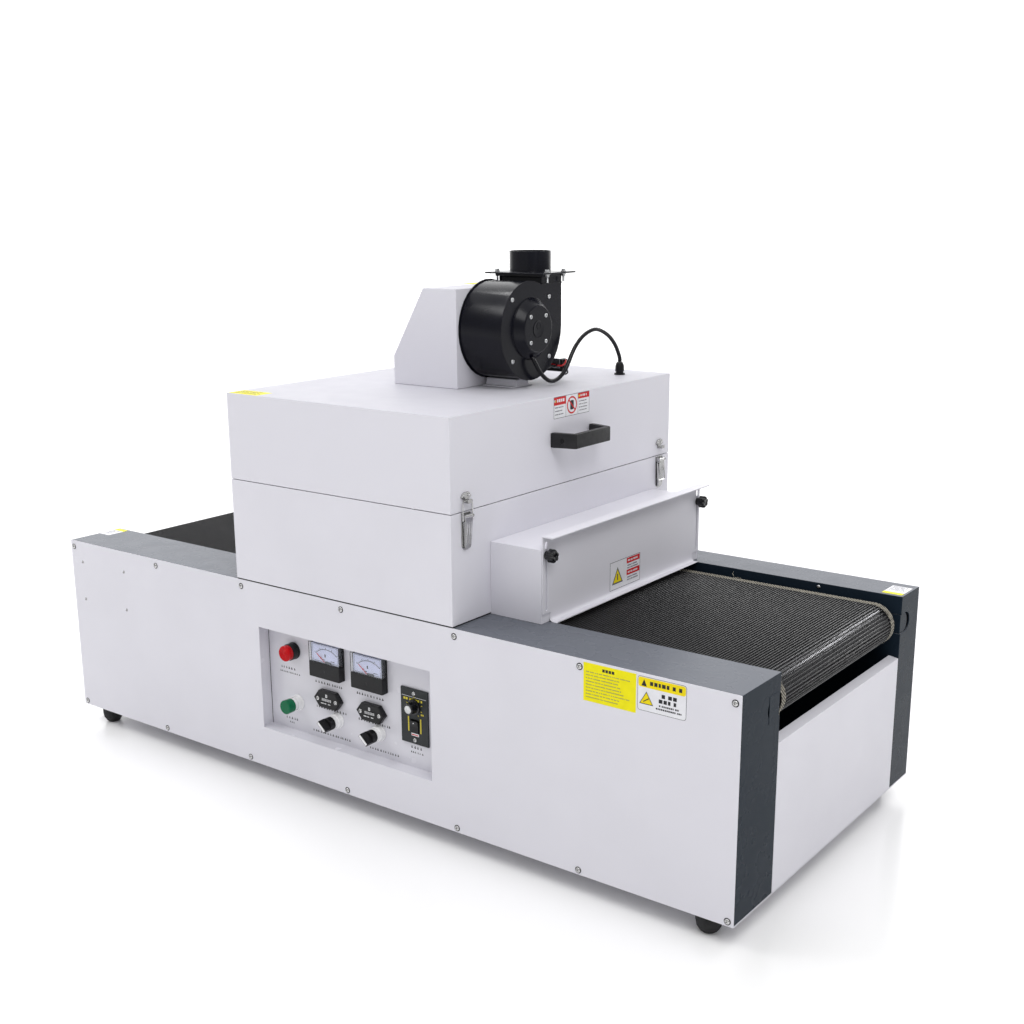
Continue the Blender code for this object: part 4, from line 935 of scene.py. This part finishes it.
def make_lid_labels():
    """The wide label over the handle, with its plain red ring, and the yellow one on the lid's corner."""
    white, red, grey, black, amber = (bmesh.new() for _ in range(5))
    y0, y1, z0, z1 = -0.047, 0.047, 0.599, 0.6312
    add_slab(white, LID_FACE, rectangle(y0, y1, z0, z1), -0.0001, 0.00012)
    add_slab(white, LID_FACE, circle(-0.0445, z1 - 0.006, 0.002, 12), 0.0, 0.0003)
    add_frame_line(grey, LID_FACE, y0, y1, z0, z1, 0.0006, 0.0002)
    for y in (-0.0157, 0.0163):
        add_slab(grey, LID_FACE, rectangle(y - 0.0003, y + 0.0003, z0, z1), 0.0, 0.0002)
    add_slab(red, LID_FACE, rectangle(y0 + 0.0006, -0.016, z1 - 0.0124, z1 - 0.0006), 0.0, 0.00022)
    add_slab(red, LID_FACE, rectangle(0.0168, y1 - 0.0006, z1 - 0.009, z1 - 0.0006), 0.0, 0.00022)
    for u, v in ((-0.043, z1 - 0.0064), (0.0195, z1 - 0.0048)):
        add_slab(amber, LID_FACE, circle(u, v, 0.0017, 12), 0.0, 0.0003)
    add_text_lines(white, LID_FACE, -0.039, -0.0185, z1 - 0.0036, 1, 0.004, 0.0046, 31, 0.1, 0.0003)
    add_text_lines(white, LID_FACE, 0.023, 0.0445, z1 - 0.003, 1, 0.004, 0.003, 33, 0.1, 0.0003)
    middle = (0.0004, 0.615)
    outer, inner = circle(*middle, 0.0132, 36), circle(*middle, 0.0108, 36)
    for k in range(36):
        j = (k + 1) % 36
        add_slab(red, LID_FACE, [outer[k], outer[j], inner[j], inner[k]], 0.0, 0.00022)
    reach, half = 0.0112, 0.0011
    slash = []
    for along, across in ((-reach, -half), (reach, -half), (reach, half), (-reach, half)):
        slash.append((middle[0] + (along - across) * 0.7071, middle[1] - (along + across) * 0.7071))
    add_slab(red, LID_FACE, slash, 0.0, 0.00026)
    add_slab(black, LID_FACE, rounded(-0.0042, 0.005, 0.608, 0.6222, 0.0022), 0.0, 0.00018)
    add_text_lines(grey, LID_FACE, -0.044, -0.019, 0.616, 3, 0.0052, 0.0016, 35, 0.2, 0.0002)
    add_text_lines(grey, LID_FACE, 0.0195, 0.044, 0.619, 4, 0.0046, 0.0015, 36, 0.25, 0.0002)
    corner = bmesh.new()
    add_slab(corner, LID_TOP, rectangle(-0.2215, -0.16, -0.2885, -0.256), -0.0001, 0.00012)
    add_text_lines(black, LID_TOP, -0.218, -0.164, -0.26, 5, 0.0052, 0.0022, 37, 0.2, 0.0002)
    add_slab(corner, DUCT_TOP, rectangle(-0.042, -0.018, 0.056, 0.096), -0.0001, 0.00012)
    for name, bm, paint in (
        ("lid_label", white, "paper_white"),
        ("lid_label_red", red, "ink_red"),
        ("lid_label_lines", grey, "ink_grey"),
        ("lid_label_black", black, "ink_black"),
        ("lid_label_amber", amber, "amber"),
        ("lid_label_yellow", corner, "paper_yellow"),
    ):
        new_piece(name, bm, paint, "lid")


def make_gate_labels():
    for gate, side in (("exit_gate", 1), ("entry_gate", -1)):
        low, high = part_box(gate)
        face = low.x + SHEET if side > 0 else high.x - SHEET
        plane = ("X", face, side)
        white, red, black, amber = (bmesh.new() for _ in range(4))
        y0, y1, z0, z1 = -0.03, 0.055, 0.345, 0.3885
        add_slab(white, plane, rectangle(y0, y1, z0, z1), -0.0001, 0.00012)
        add_frame_line(black, plane, y0, y1, z0, z1, 0.0007, 0.00018)
        for top in (z1 - 0.0015, z1 - 0.02):
            add_slab(red, plane, rectangle(0.0165, 0.0535, top - 0.0085, top), 0.0, 0.00018)
            add_text_lines(white, plane, 0.02, 0.05, top - 0.003, 1, 0.004, 0.0026, 40, 0.1, 0.00026)
            add_text_lines(black, plane, 0.0185, 0.0515, top - 0.011, 2, 0.004, 0.0018, 41, 0.25, 0.0002)
        warning_triangle(black, amber, plane, -0.009, 0.366, 0.015)
        for name, bm, paint in (
            ("label", white, "paper_white"),
            ("label_red", red, "ink_red"),
            ("label_print", black, "ink_grey"),
            ("label_amber", amber, "amber"),
        ):
            new_piece(f"{gate}_{name}", bm, paint, gate)


def make_rail_labels():
    white, yellow, grey = (bmesh.new() for _ in range(3))
    for x0, x1, y0, y1, strip in (
        (-0.659, -0.632, -0.23, -0.188, -0.198),
        (0.625, 0.656, 0.227, 0.272, 0.227),
    ):
        add_slab(white, RAIL_TOP, rectangle(x0, x1, y0, y1), -0.0001, 0.00012)
        add_slab(yellow, RAIL_TOP, rectangle(x0, x1, strip, strip + 0.01), 0.0, 0.0002)
        first = (y1 if strip == y0 else strip) - 0.003
        add_text_lines(grey, RAIL_TOP, x0 + 0.003, x1 - 0.003, first, 5, 0.005, 0.002, 43, 0.2, 0.0002)
    new_piece("rail_labels", white, "paper_white", "base")
    new_piece("rail_labels_yellow", yellow, "paper_yellow", "base")
    new_piece("rail_labels_print", grey, "ink_grey", "base")


# The controls

def front_middle(node):
    """The middle of a node's box as seen from the front: its X and Z."""
    low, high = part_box(node)
    return (low.x + high.x) / 2, (low.z + high.z) / 2


def make_deck_print():
    bm = bmesh.new()
    rows = (
        (-0.159, -0.1255, 0.201, 0.0026, 51),
        (-0.162, -0.12, 0.193, 0.0018, 52),
        (-0.084, -0.027, 0.192, 0.0026, 53),
        (0.004, 0.058, 0.192, 0.0026, 54),
        (-0.153, -0.126, 0.1165, 0.0026, 55),
        (-0.146, -0.135, 0.109, 0.0018, 56),
        (-0.0835, -0.0185, 0.151, 0.0026, 57),
        (0.006, 0.068, 0.1505, 0.0026, 58),
        (-0.093, -0.011, 0.1085, 0.0024, 59),
        (0.028, 0.085, 0.1085, 0.0024, 60),
        (0.112, 0.135, 0.131, 0.0028, 61),
        (0.111, 0.1356, 0.1225, 0.002, 62),
    )
    for u0, u1, top, height, seed in rows:
        chance = random.Random(seed)
        size = height * 1.35
        u = u0
        while u < u1:
            width = size * (0.45 + 0.45 * chance.random())
            foot = rectangle(u, u + width, top - size, top - size * 0.55)
            stem = rectangle(u + width * 0.2, u + width * 0.7, top - size * 0.6, top)
            for outline in (foot, stem):
                add_slab(bm, DECK, outline, 0.0, 0.00012)
            u += width + size * (0.45 + 0.8 * chance.random())
    new_piece("deck_print", bm, "ink_black", "base")


def arc_points(middle, radius, start, end, steps):
    angles = [radians(start + (end - start) * k / steps) for k in range(steps + 1)]
    return [(middle[0] + radius * cos(a), middle[1] + radius * sin(a)) for a in angles]


def add_line(bm, plane, points, width, lift, low=0.0):
    """A thin raised line through points on a plane."""
    for (u0, v0), (u1, v1) in zip(points, points[1:]):
        length = max(((u1 - u0) ** 2 + (v1 - v0) ** 2) ** 0.5, 1e-6)
        du, dv = -(v1 - v0) / length * width / 2, (u1 - u0) / length * width / 2
        outline = [(u0 + du, v0 + dv), (u1 + du, v1 + dv), (u1 - du, v1 - dv), (u0 - du, v0 - dv)]
        add_slab(bm, plane, outline, low, lift)


def make_ammeter_window(name, x, half, split, top, back):
    """The clear cover, with a hollow inside that is open to the dial."""
    def inset(side, base, radius):
        return rounded(x - half + side, x + half - side, split + base, top - side, radius)

    outer, inner = inset(0.0002, 0.0002, 0.0016), inset(0.0014, 0.0012, 0.0008)
    crown = inset(0.001, 0.001, 0.0014)
    levels = ((outer, 0.0036), (outer, 0.0115), (crown, 0.0125), (inner, 0.0112), (inner, 0.0036))
    bm = bmesh.new()
    rings = [[bm.verts.new((u, back - height, v)) for u, v in outline] for outline, height in levels]
    for first, second in ((0, 1), (1, 2), (3, 4), (4, 0)):
        for i in range(len(outer)):
            j = (i + 1) % len(outer)
            bm.faces.new((rings[first][i], rings[first][j], rings[second][j], rings[second][i]))
    bm.faces.new(rings[2])
    bm.faces.new(rings[3])
    new_piece(f"{name}_window", bm, "window", "base")


def make_ammeter(index):
    """A black body whose upper half is a clear cover over a printed dial with a red needle."""
    name = f"ammeter_{index}"
    low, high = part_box(name)
    x = (low.x + high.x) / 2
    back, front = DECK_Y - GAP, low.y
    bottom, top = low.z, high.z
    split = bottom + 0.0245
    half = 0.032
    base, dial = ("Y", back, -1), ("Y", back - 0.0088, -1)

    body = bmesh.new()
    add_slab(body, base, rounded(x - half, x + half, bottom, top, 0.0012), 0.0, 0.0034)
    add_slab(body, base, rounded(x - half, x + half, bottom, split, 0.0012), 0.0034, back - front)
    for side in (-1, 1):
        wall = sorted((x + side * 0.0308, x + side * 0.0282))
        add_slab(body, base, rectangle(*wall, split, top - 0.0018), 0.0034, 0.0085)
    piece = new_piece(f"{name}_body", body, "plastic", "base", bevel=0.0005)
    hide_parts(name)

    card = bmesh.new()
    add_slab(card, base, rectangle(x - 0.0285, x + 0.0285, split + 0.0005, top - 0.002), 0.0034, 0.0088)
    new_piece(f"{name}_dial", card, "dial", "base")
    make_ammeter_window(name, x, half, split, top, back)

    rim = bmesh.new()
    left, right = x - half, x + half
    add_frame_line(rim, ("Y", back - 0.0115, -1), left, right, split + 0.0001, top + 0.0001, 0.0007, 0.0006)
    left, right = left - 0.0001, right + 0.0001
    add_frame_line(rim, ("Y", back - 0.0034, -1), left, right, split, top + 0.0002, 0.0009, 0.0008)
    new_piece(f"{name}_rim", rim, "plastic", "base")

    ink = bmesh.new()
    add_frame_line(ink, dial, x - 0.0262, x + 0.0262, split + 0.0018, top - 0.0032, 0.0004, 0.0001)
    pivot = (x + 0.003, split - 0.012)
    radius = 0.0345
    add_line(ink, dial, arc_points(pivot, radius, 132, 52, 24), 0.0007, 0.00012)
    for k in range(21):
        angle = radians(132 - 4 * k)
        reach = 0.0034 if k % 5 == 0 else 0.0018
        ends = [(pivot[0] + r * cos(angle), pivot[1] + r * sin(angle)) for r in (radius, radius + reach)]
        add_line(ink, dial, ends, 0.00045 if k % 5 else 0.0008, 0.00014)
    for u0, u1, v0, v1 in (
        (-0.0012, 0.0012, 0.01, 0.0148),
        (-0.006, -0.001, 0.005, 0.006),
        (0.012, 0.02, 0.005, 0.0058),
    ):
        add_slab(ink, dial, rectangle(x + u0, x + u1, split + v0, split + v1), 0.0, 0.00014)
    new_piece(f"{name}_scale", ink, "ink_black", "base")

    needle = bmesh.new()
    ends = [(x + 0.001, split + 0.0008), (x - 0.017, split + 0.014)]
    add_line(needle, dial, ends, 0.0009, 0.0014, 0.0008)
    add_slab(needle, dial, circle(x - 0.0085, split + 0.0078, 0.0012, 10), 0.0004, 0.0015)
    new_piece(f"{name}_needle", needle, "ink_red", "base")

    details = bmesh.new()
    outline = rounded(x + 0.0002, x + 0.0128, split - 0.0005, split + 0.0036, 0.0012)
    add_slab(details, base, outline, 0.0086, 0.0106)
    adjuster = [(-0.0004, 0.0026), (0.0003, 0.0024), (0.0001, 0.0016)]
    add_lathe(details, ("Y", front, -1), (x, bottom + 0.0115), adjuster, 16)
    new_piece(f"{name}_details", details, "grained", "base")


def make_hour_meter(index):
    """A long hexagonal bezel with two screws, a counter and its printed marks."""
    name = f"hour_meter_{index}"
    x, z = front_middle(name)
    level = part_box(name)[0].y
    face = ("Y", level, -1)
    soften(name, "plastic", 0.0006)
    screws, dark, white = bmesh.new(), bmesh.new(), bmesh.new()
    for side in (-1, 1):
        add_screw(screws, face, (x + side * 0.019, z), 0.0034, 0.5 * side)
    new_piece(f"{name}_screws", screws, "steel", "base", 40)
    add_slab(dark, face, rounded(x - 0.0125, x + 0.0125, z - 0.0026, z + 0.003, 0.0006), -0.0002, 0.0004)
    add_frame_line(white, face, x - 0.0024, x + 0.0012, z + 0.0044, z + 0.0092, 0.001, 0.00025)
    counter = ("Y", level - 0.0004, -1)
    for k in range(6):
        u = x - 0.0098 + 0.0034 * k
        add_frame_line(white, counter, u, u + 0.0022, z - 0.0016, z + 0.002, 0.0006, 0.0001)
    for k, width in enumerate((0.006, 0.0035, 0.0048)):
        u = x - 0.0125 + 0.0075 * k
        add_slab(white, face, rectangle(u, u + width, z - 0.0068, z - 0.0056), 0.0, 0.0002)
    new_piece(f"{name}_counter", dark, "grained", "base")
    new_piece(f"{name}_marks", white, "ink_white", "base")


def make_pilot():
    """A black stepped collar and a red lens with ring-shaped ribs."""
    middle = front_middle("pilot_lamp")
    collar, lens = bmesh.new(), bmesh.new()
    rings = [(0.0002, 0.0135), (0.002, 0.0138), (0.0024, 0.013), (0.0052, 0.013)]
    rings += [(0.0056, 0.0134), (0.0132, 0.0134), (0.0138, 0.0128), (0.0138, 0.008)]
    add_lathe(collar, DECK, middle, rings, 36)
    new_piece("pilot_collar", collar, "plastic", "base")
    rings = [(0.0125, 0.012), (0.014, 0.0126), (0.0208, 0.0125), (0.022, 0.0117), (0.0224, 0.011)]
    for k in range(5):
        radius = 0.0106 - 0.0021 * k
        rings += [(0.0222, radius), (0.0228, radius - 0.0007), (0.0222, radius - 0.0015)]
    add_lathe(lens, DECK, middle, rings, 36)
    piece = new_piece("pilot_lens", lens, "red", "base")
    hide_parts("pilot_lamp")


def make_button_collars():
    """White stepped collars; the start button's inner sleeve moves with it."""
    bm, sleeve = bmesh.new(), bmesh.new()
    middle = front_middle("start_button")
    foot = [(0.0001, 0.0066), (0.0001, 0.0128), (0.0022, 0.0128)]
    rings = [(0.0026, 0.0118), (0.0092, 0.0118), (0.01, 0.0112), (0.01, 0.0108), (0.003, 0.0107)]
    add_lathe(bm, DECK, middle, foot + rings + [(0.003, 0.0066)], 36)
    rings = [(0.0026, 0.0117), (0.0088, 0.0117), (0.0094, 0.0105), (0.0156, 0.0103), (0.0158, 0.0098)]
    for index in (1, 2):
        spot = front_middle(f"lamp_selector_{index}")
        add_lathe(bm, DECK, spot, foot + rings + [(0.0158, 0.0066)], 36)
    new_piece("button_collars", bm, "collar", "base")
    rings = [(0.0085, 0.0062), (0.0085, 0.0102), (0.016, 0.0104), (0.016, 0.0062)]
    add_lathe(sleeve, DECK, middle, rings, 36)
    new_piece("start_sleeve", sleeve, "collar", "start_button")
    soften("start_button", "green", 0.0006, 30)


def make_selector_stripes():
    lean = radians(-42)
    for name in ("lamp_selector_1", "lamp_selector_2"):
        x, z = front_middle(name)
        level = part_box(name)[0].y
        soften(name, "plastic", 0.0003, 30)
        outline = []
        for u, v in rounded(-0.0092, 0.0092, -0.0019, 0.0019, 0.0012):
            outline.append((x + u * cos(lean) - v * sin(lean), z + u * sin(lean) + v * cos(lean)))
        bm = bmesh.new()
        add_slab(bm, ("Y", level, -1), outline, -0.0002, 0.00045)
        new_piece(f"{name}_stripe", bm, "ink_white", name)


def make_speed_details():
    """The speed controller's plate with its screws, scale and print, and its knob's and rocker's marks."""
    x = front_middle("speed_controller")[0]
    face = ("Y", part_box("speed_controller")[0].y, -1)
    soften("speed_controller", "plate", 0.0003)
    screws, white, yellow, red = (bmesh.new() for _ in range(4))
    for u, z in ((x, 0.2152), (x + 0.0005, 0.1425)):
        add_screw(screws, face, (u, z), 0.0033, 0.2)
    new_piece("speed_screws", screws, "steel", "base", 40)
    add_slab(white, face, rectangle(x - 0.0235, x + 0.0235, 0.2093, 0.2098), 0.0, 0.00012)
    add_slab(white, face, rectangle(x - 0.0062, x + 0.0082, 0.149, 0.1532), 0.0, 0.00012)
    add_slab(red, face, rectangle(x - 0.0052, x + 0.0072, 0.15, 0.1515), 0.0, 0.0002)
    add_text_lines(yellow, face, x - 0.02, x + 0.019, 0.207, 1, 0.004, 0.0034, 71, 0.05, 0.00015)
    for u in (x - 0.0113, x + 0.0122):
        add_slab(yellow, face, rectangle(u - 0.0011, u + 0.0011, 0.155, 0.178), 0.0, 0.00015)
    middle = front_middle("speed_knob")
    for step in range(9):
        angle = radians(-60 + 300 * step / 8)
        ends = [(middle[0] + r * cos(angle), middle[1] + r * sin(angle)) for r in (0.0134, 0.0158)]
        add_line(yellow, face, ends, 0.001, 0.00015)
    add_text_lines(yellow, face, x + 0.013, x + 0.0215, 0.1862, 1, 0.004, 0.0026, 73, 0.05, 0.00015)
    for name, bm in (("white", white), ("yellow", yellow), ("red", red)):
        new_piece(f"speed_plate_{name}", bm, f"ink_{name}", "base")
    cap, pointer, dot = bmesh.new(), bmesh.new(), bmesh.new()
    knob_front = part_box("speed_knob")[0].y
    rings = [(-0.0003, 0.0062), (0.0004, 0.0062), (0.0008, 0.0056), (0.0006, 0.0048)]
    add_lathe(cap, ("Y", knob_front, -1), middle, rings, 32)
    new_piece("speed_knob_cap", cap, "zinc", "speed_knob")
    stroke = rectangle(middle[0] - 0.0005, middle[0] + 0.0005, middle[1], middle[1] + 0.0046)
    add_slab(pointer, ("Y", knob_front - 0.0006, -1), stroke, 0.0, 0.0002)
    new_piece("speed_knob_pointer", pointer, "ink_white", "speed_knob")
    low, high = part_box("speed_rocker")
    spot = circle((low.x + high.x) / 2, high.z - 0.0034, 0.0009, 10)
    add_slab(dot, ("Y", low.y + 0.0004, -1), spot, -0.0006, 0.0005)
    new_piece("speed_rocker_dot", dot, "ink_white", "speed_rocker")


# The latches, the gates' knobs and the handle

def make_handle_screws():
    """The handle with its rounded edges, and a hollow-head screw at each of its ends."""
    low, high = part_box("lid_handle")
    spot = (low.x + 0.016, (low.z + high.z) / 2)
    soften("lid_handle", "grained", 0.0008, 40)
    rings = [(0.0, 0.0052), (0.0016, 0.0052), (0.002, 0.0047), (0.002, 0.0041), (0.0008, 0.0039)]
    bm = bmesh.new()
    for side in (-1, 1):
        plane = ("Y", side * (high.y - 0.0026 - 0.0014), side)
        add_lathe(bm, plane, spot, rings, 24)
        add_hex(bm, plane, spot, 0.006, 0.0006, 0.0016, 0.2)
    new_piece("handle_screws", bm, "plastic", "lid")


def make_gate_knobs():
    """Six-lobed clamp knobs on the gates' studs."""
    def lobes(reach, depth):
        return lambda angle: reach * (1 - depth * (0.5 - 0.5 * cos(6 * angle)) ** 1.4)

    rings = [(-0.016, 0.004), (-0.016, 0.0062), (-0.0122, 0.0062), (-0.012, lobes(0.0086, 0.2))]
    rings += [(-0.0112, lobes(0.0096, 0.27)), (-0.003, lobes(0.0096, 0.27)), (-0.0008, lobes(0.0088, 0.24))]
    rings += [(0.0, lobes(0.0074, 0.2)), (0.0002, 0.0044), (-0.0006, 0.0036), (-0.0006, 0.001)]
    for gate, side in (("exit", 1), ("entry", -1)):
        for end in ("near", "far"):
            node = f"{gate}_knob_{end}"
            low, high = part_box(node)
            middle = ((low.y + high.y) / 2, (low.z + high.z) / 2)
            bm = bmesh.new()
            add_lathe(bm, ("X", high.x if side > 0 else low.x, side), middle, rings, 60, 0.3)
            knob = new_piece(f"{node}_grip", bm, "gloss", node, 50)
            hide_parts(node)

def make_latches():
    """The toggle latches' base plates with ears, barrels, ribbed levers and screwed keepers."""
    plates, barrels = bmesh.new(), bmesh.new()
    x, z = BOX_HIGH.x + 0.0058, BOX_HIGH.z - 0.0055
    wall = BOX_HIGH.x + 0.0006
    ear_profile = [(wall, z + 0.0032), (wall, z - 0.0032)]
    for k in range(9):
        angle = -pi / 2 + pi * k / 8
        ear_profile.append((x + 0.0028 * cos(angle), z + 0.0028 * sin(angle)))
    for index in (1, 2):
        lever, keeper = f"latch_lever_{index}", f"latch_keeper_{index}"
        low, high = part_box(lever)
        y = (low.y + high.y) / 2
        outline = [(y + 0.01, 0.4978), (y - 0.01, 0.4978)]
        for k in range(11):
            angle = pi * k / 10
            outline.append((y - 0.01 * cos(angle), 0.453 - 0.0085 * sin(angle)))
        add_slab(plates, BOX_FACE, outline, 0.00005, 0.0011)
        for ear in (-0.0088, 0.0088):
            sides = (y + ear - 0.0003, y + ear + 0.0003)
            add_rings(plates, [[(px, side, pz) for px, pz in ear_profile] for side in sides])
        rings = []
        for along, radius in ((-0.0093, 0.0014), (-0.0092, 0.0022), (0.0092, 0.0022), (0.0093, 0.0014)):
            rings.append([(u, y + along, v) for u, v in circle(x, z, radius, 20)])
        add_rings(barrels, rings)
        soften(lever, "pressed", 0.0005)
        ribs = bmesh.new()
        for rib in (-0.0045, 0.0, 0.0045):
            rings = []
            for drop, lean, half in ((0.007, -0.0001, 0.001), (0.015, 0.0, 0.001), (0.04, -0.0016, 0.0008)):
                crest = BOX_HIGH.x + 0.0066 + lean
                corners = ((-0.0012, -half), (-0.0012, half), (0.0003, half * 0.6), (0.0003, -half * 0.6))
                rings.append([(crest + out, y + rib + across, z - drop) for out, across in corners])
            add_rings(ribs, rings)
        new_piece(f"{lever}_ribs", ribs, "steel", lever, bevel=0.0002)
        screws = bmesh.new()
        face = ("X", BOX_HIGH.x + GAP + 0.0015, 1)
        for offset in (-0.0056, 0.0056):
            add_screw(screws, face, (y + offset, 0.5225), 0.003, 0.4 + offset * 90, True)
        new_piece(f"{keeper}_screws", screws, "steel", "lid", 40)
        soften(keeper, "pressed", 0.0002)
    new_piece("latch_base_plates", plates, "pressed", "base", bevel=0.0002)
    new_piece("latch_barrels", barrels, "steel", "base")


# The capacitor's two leads

RED_WIRE = [
    (0.096, 0.0996, 0.661),
    (0.104, 0.099, 0.66),
    (0.115, 0.0988, 0.6585),
    (0.125, 0.0992, 0.658),
    (0.129, 0.103, 0.66),
    (0.1292, 0.108, 0.6645),
    (0.1262, 0.112, 0.6665),
]
BLACK_WIRE = [
    (0.1262, 0.106, 0.656),
    (0.1305, 0.1065, 0.654),
    (0.1318, 0.109, 0.65),
    (0.129, 0.113, 0.6455),
    (0.123, 0.115, 0.643),
    (0.116, 0.113, 0.6425),
]


# The extraction fan

def make_fan_details():
    """The fan's cover screws and cap, the flanges of its neck and the bolts of its outlet plate."""
    y, z = 0.015, 0.723
    cover = MOTOR_LOW.x + 0.002
    screws, boss, flange, bolts = (bmesh.new() for _ in range(4))
    for side in (-1, 1):
        for rise in (-1, 1):
            spot = (y + side * 0.0475, z + rise * 0.046)
            add_screw(screws, ("X", cover, 1), spot, 0.0036, side + rise * 0.4)
            add_screw(screws, CAP_FACE, (y + side * 0.0195, z + rise * 0.0195), 0.0034, rise * 0.7)
    new_piece("fan_screws", screws, "zinc", "lid", 40)
    rings = [(-0.0006, 0.0132), (0.0006, 0.0132), (0.001, 0.0127), (0.0008, 0.011), (0.0008, 0.001)]
    add_lathe(boss, CAP_FACE, (y, z), rings, 40)
    plug = [(0.0002, 0.0052), (0.0013, 0.0052), (0.0013, 0.0044), (0.0009, 0.0042)]
    add_lathe(boss, CAP_FACE, (y, z + 0.005), plug, 32)
    seam = [(-0.0004, 0.0352), (0.0003, 0.035), (0.0004, 0.0344), (0.0001, 0.034)]
    add_lathe(boss, CAP_FACE, (y, z), seam, 48)
    new_piece("fan_cap_boss", boss, "black", "lid")

    neck0, neck1 = 0.044, 0.0955
    for z0, z1, grow in ((0.7995, 0.803, 0.005), (0.7885, 0.79, 0.0014)):
        outer = rectangle(SCROLL_LOW.x - grow, cover + grow, neck0 - grow, neck1 + grow)
        inner = rectangle(SCROLL_LOW.x + 0.0006, cover - 0.0006, neck0 + 0.0006, neck1 - 0.0006)
        for k in range(4):
            j = (k + 1) % 4
            add_slab(flange, ("Z", z0, 1), [outer[k], outer[j], inner[j], inner[k]], 0.0, z1 - z0)
    new_piece("neck_flanges", flange, "black", "lid", bevel=0.0003)

    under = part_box("outlet_spigot")[0].z
    washer = [(-0.0002, 0.0046), (0.0009, 0.0046)]
    thread = [(0.0045 + 0.0007 * k, 0.002 if k % 2 else 0.0017) for k in range(13)]
    for dx in (-0.048, 0.048):
        for dy in (-0.022, 0.022):
            spot = (0.087 + dx, 0.0707 + dy)
            above, below = ("Z", under + 0.0025, 1), ("Z", under, -1)
            for plane, height, turn in ((above, 0.0042, dx + dy), (below, 0.0045, dx - dy)):
                add_lathe(bolts, plane, spot, washer, 20)
                add_hex(bolts, plane, spot, 0.0074, 0.0009, height, turn)
            add_lathe(bolts, below, spot, thread, 12)
    new_piece("outlet_bolts", bolts, "zinc", "lid")


def make_fan_bracket():
    """A folded light-grey foot under the scroll, and the starting capacitor with its clip and leads."""
    foot, body, clip, arm = (bmesh.new() for _ in range(4))
    low = LID_HIGH.z + 0.0003
    fold = [(-0.009, low), (0.04, low), (0.04, low + 0.0015), (0.031, low + 0.0018)]
    fold += [(0.03, low + 0.0118), (0.001, low + 0.0118), (-0.001, low + 0.0018), (-0.009, low + 0.0015)]
    add_rings(foot, [[(x, y, z) for y, z in fold] for x in (0.053, 0.112)])
    new_piece("fan_foot", foot, "white", "lid", bevel=0.0004)
    add_slab(body, ("X", 0.09, 1), rounded(0.101, 0.117, 0.648, 0.668, 0.003, 5), 0.0, 0.037)
    new_piece("capacitor", body, "plastic", "lid", bevel=0.0006)
    for outline in (rectangle(0.099, 0.1185, 0.6682, 0.6692), rectangle(0.099, 0.1, 0.654, 0.6692)):
        add_slab(clip, ("X", 0.1, 1), outline, 0.0, 0.024)
    new_piece("capacitor_clip", clip, "zinc", "lid", bevel=0.0002)
    bends = ((0.048, 0.6535), (0.08, 0.656), (0.0985, 0.658), (0.1012, 0.66))
    rings = []
    for y, z in bends:
        rings.append([(x, y, height) for x, height in rectangle(0.095, 0.12, z, z + 0.0015)])
    add_rings(arm, rings)
    new_piece("capacitor_arm", arm, "black", "lid", bevel=0.0003)
    for colour, paint, route in (("red", "wire_red", RED_WIRE), ("black", "jacket", BLACK_WIRE)):
        new_tube(f"capacitor_wire_{colour}", route, 5, 0.0026, 3, paint, "lid")


def main():
    PAINTS.update(make_finishes())
    add_camera()
    make_lead()
    add_studio()
    add_floor()
    finish_nodes()
    make_panel_screws()
    make_gasket_shadow_strips()
    make_recess_seam_shadow()
    make_slot_covers()
    make_axle_blocks()
    make_belt()
    make_loose_threads()
    make_front_labels()
    make_lid_labels()
    make_gate_labels()
    make_rail_labels()
    make_deck_print()
    for index in (1, 2):
        make_ammeter(index)
        make_hour_meter(index)
    make_pilot()
    make_button_collars()
    make_selector_stripes()
    make_speed_details()
    make_latches()
    make_gate_knobs()
    make_handle_screws()
    make_fan_details()
    make_fan_bracket()


main()


def corners(box):
    return [[float(value) for value in corner] for corner in box]
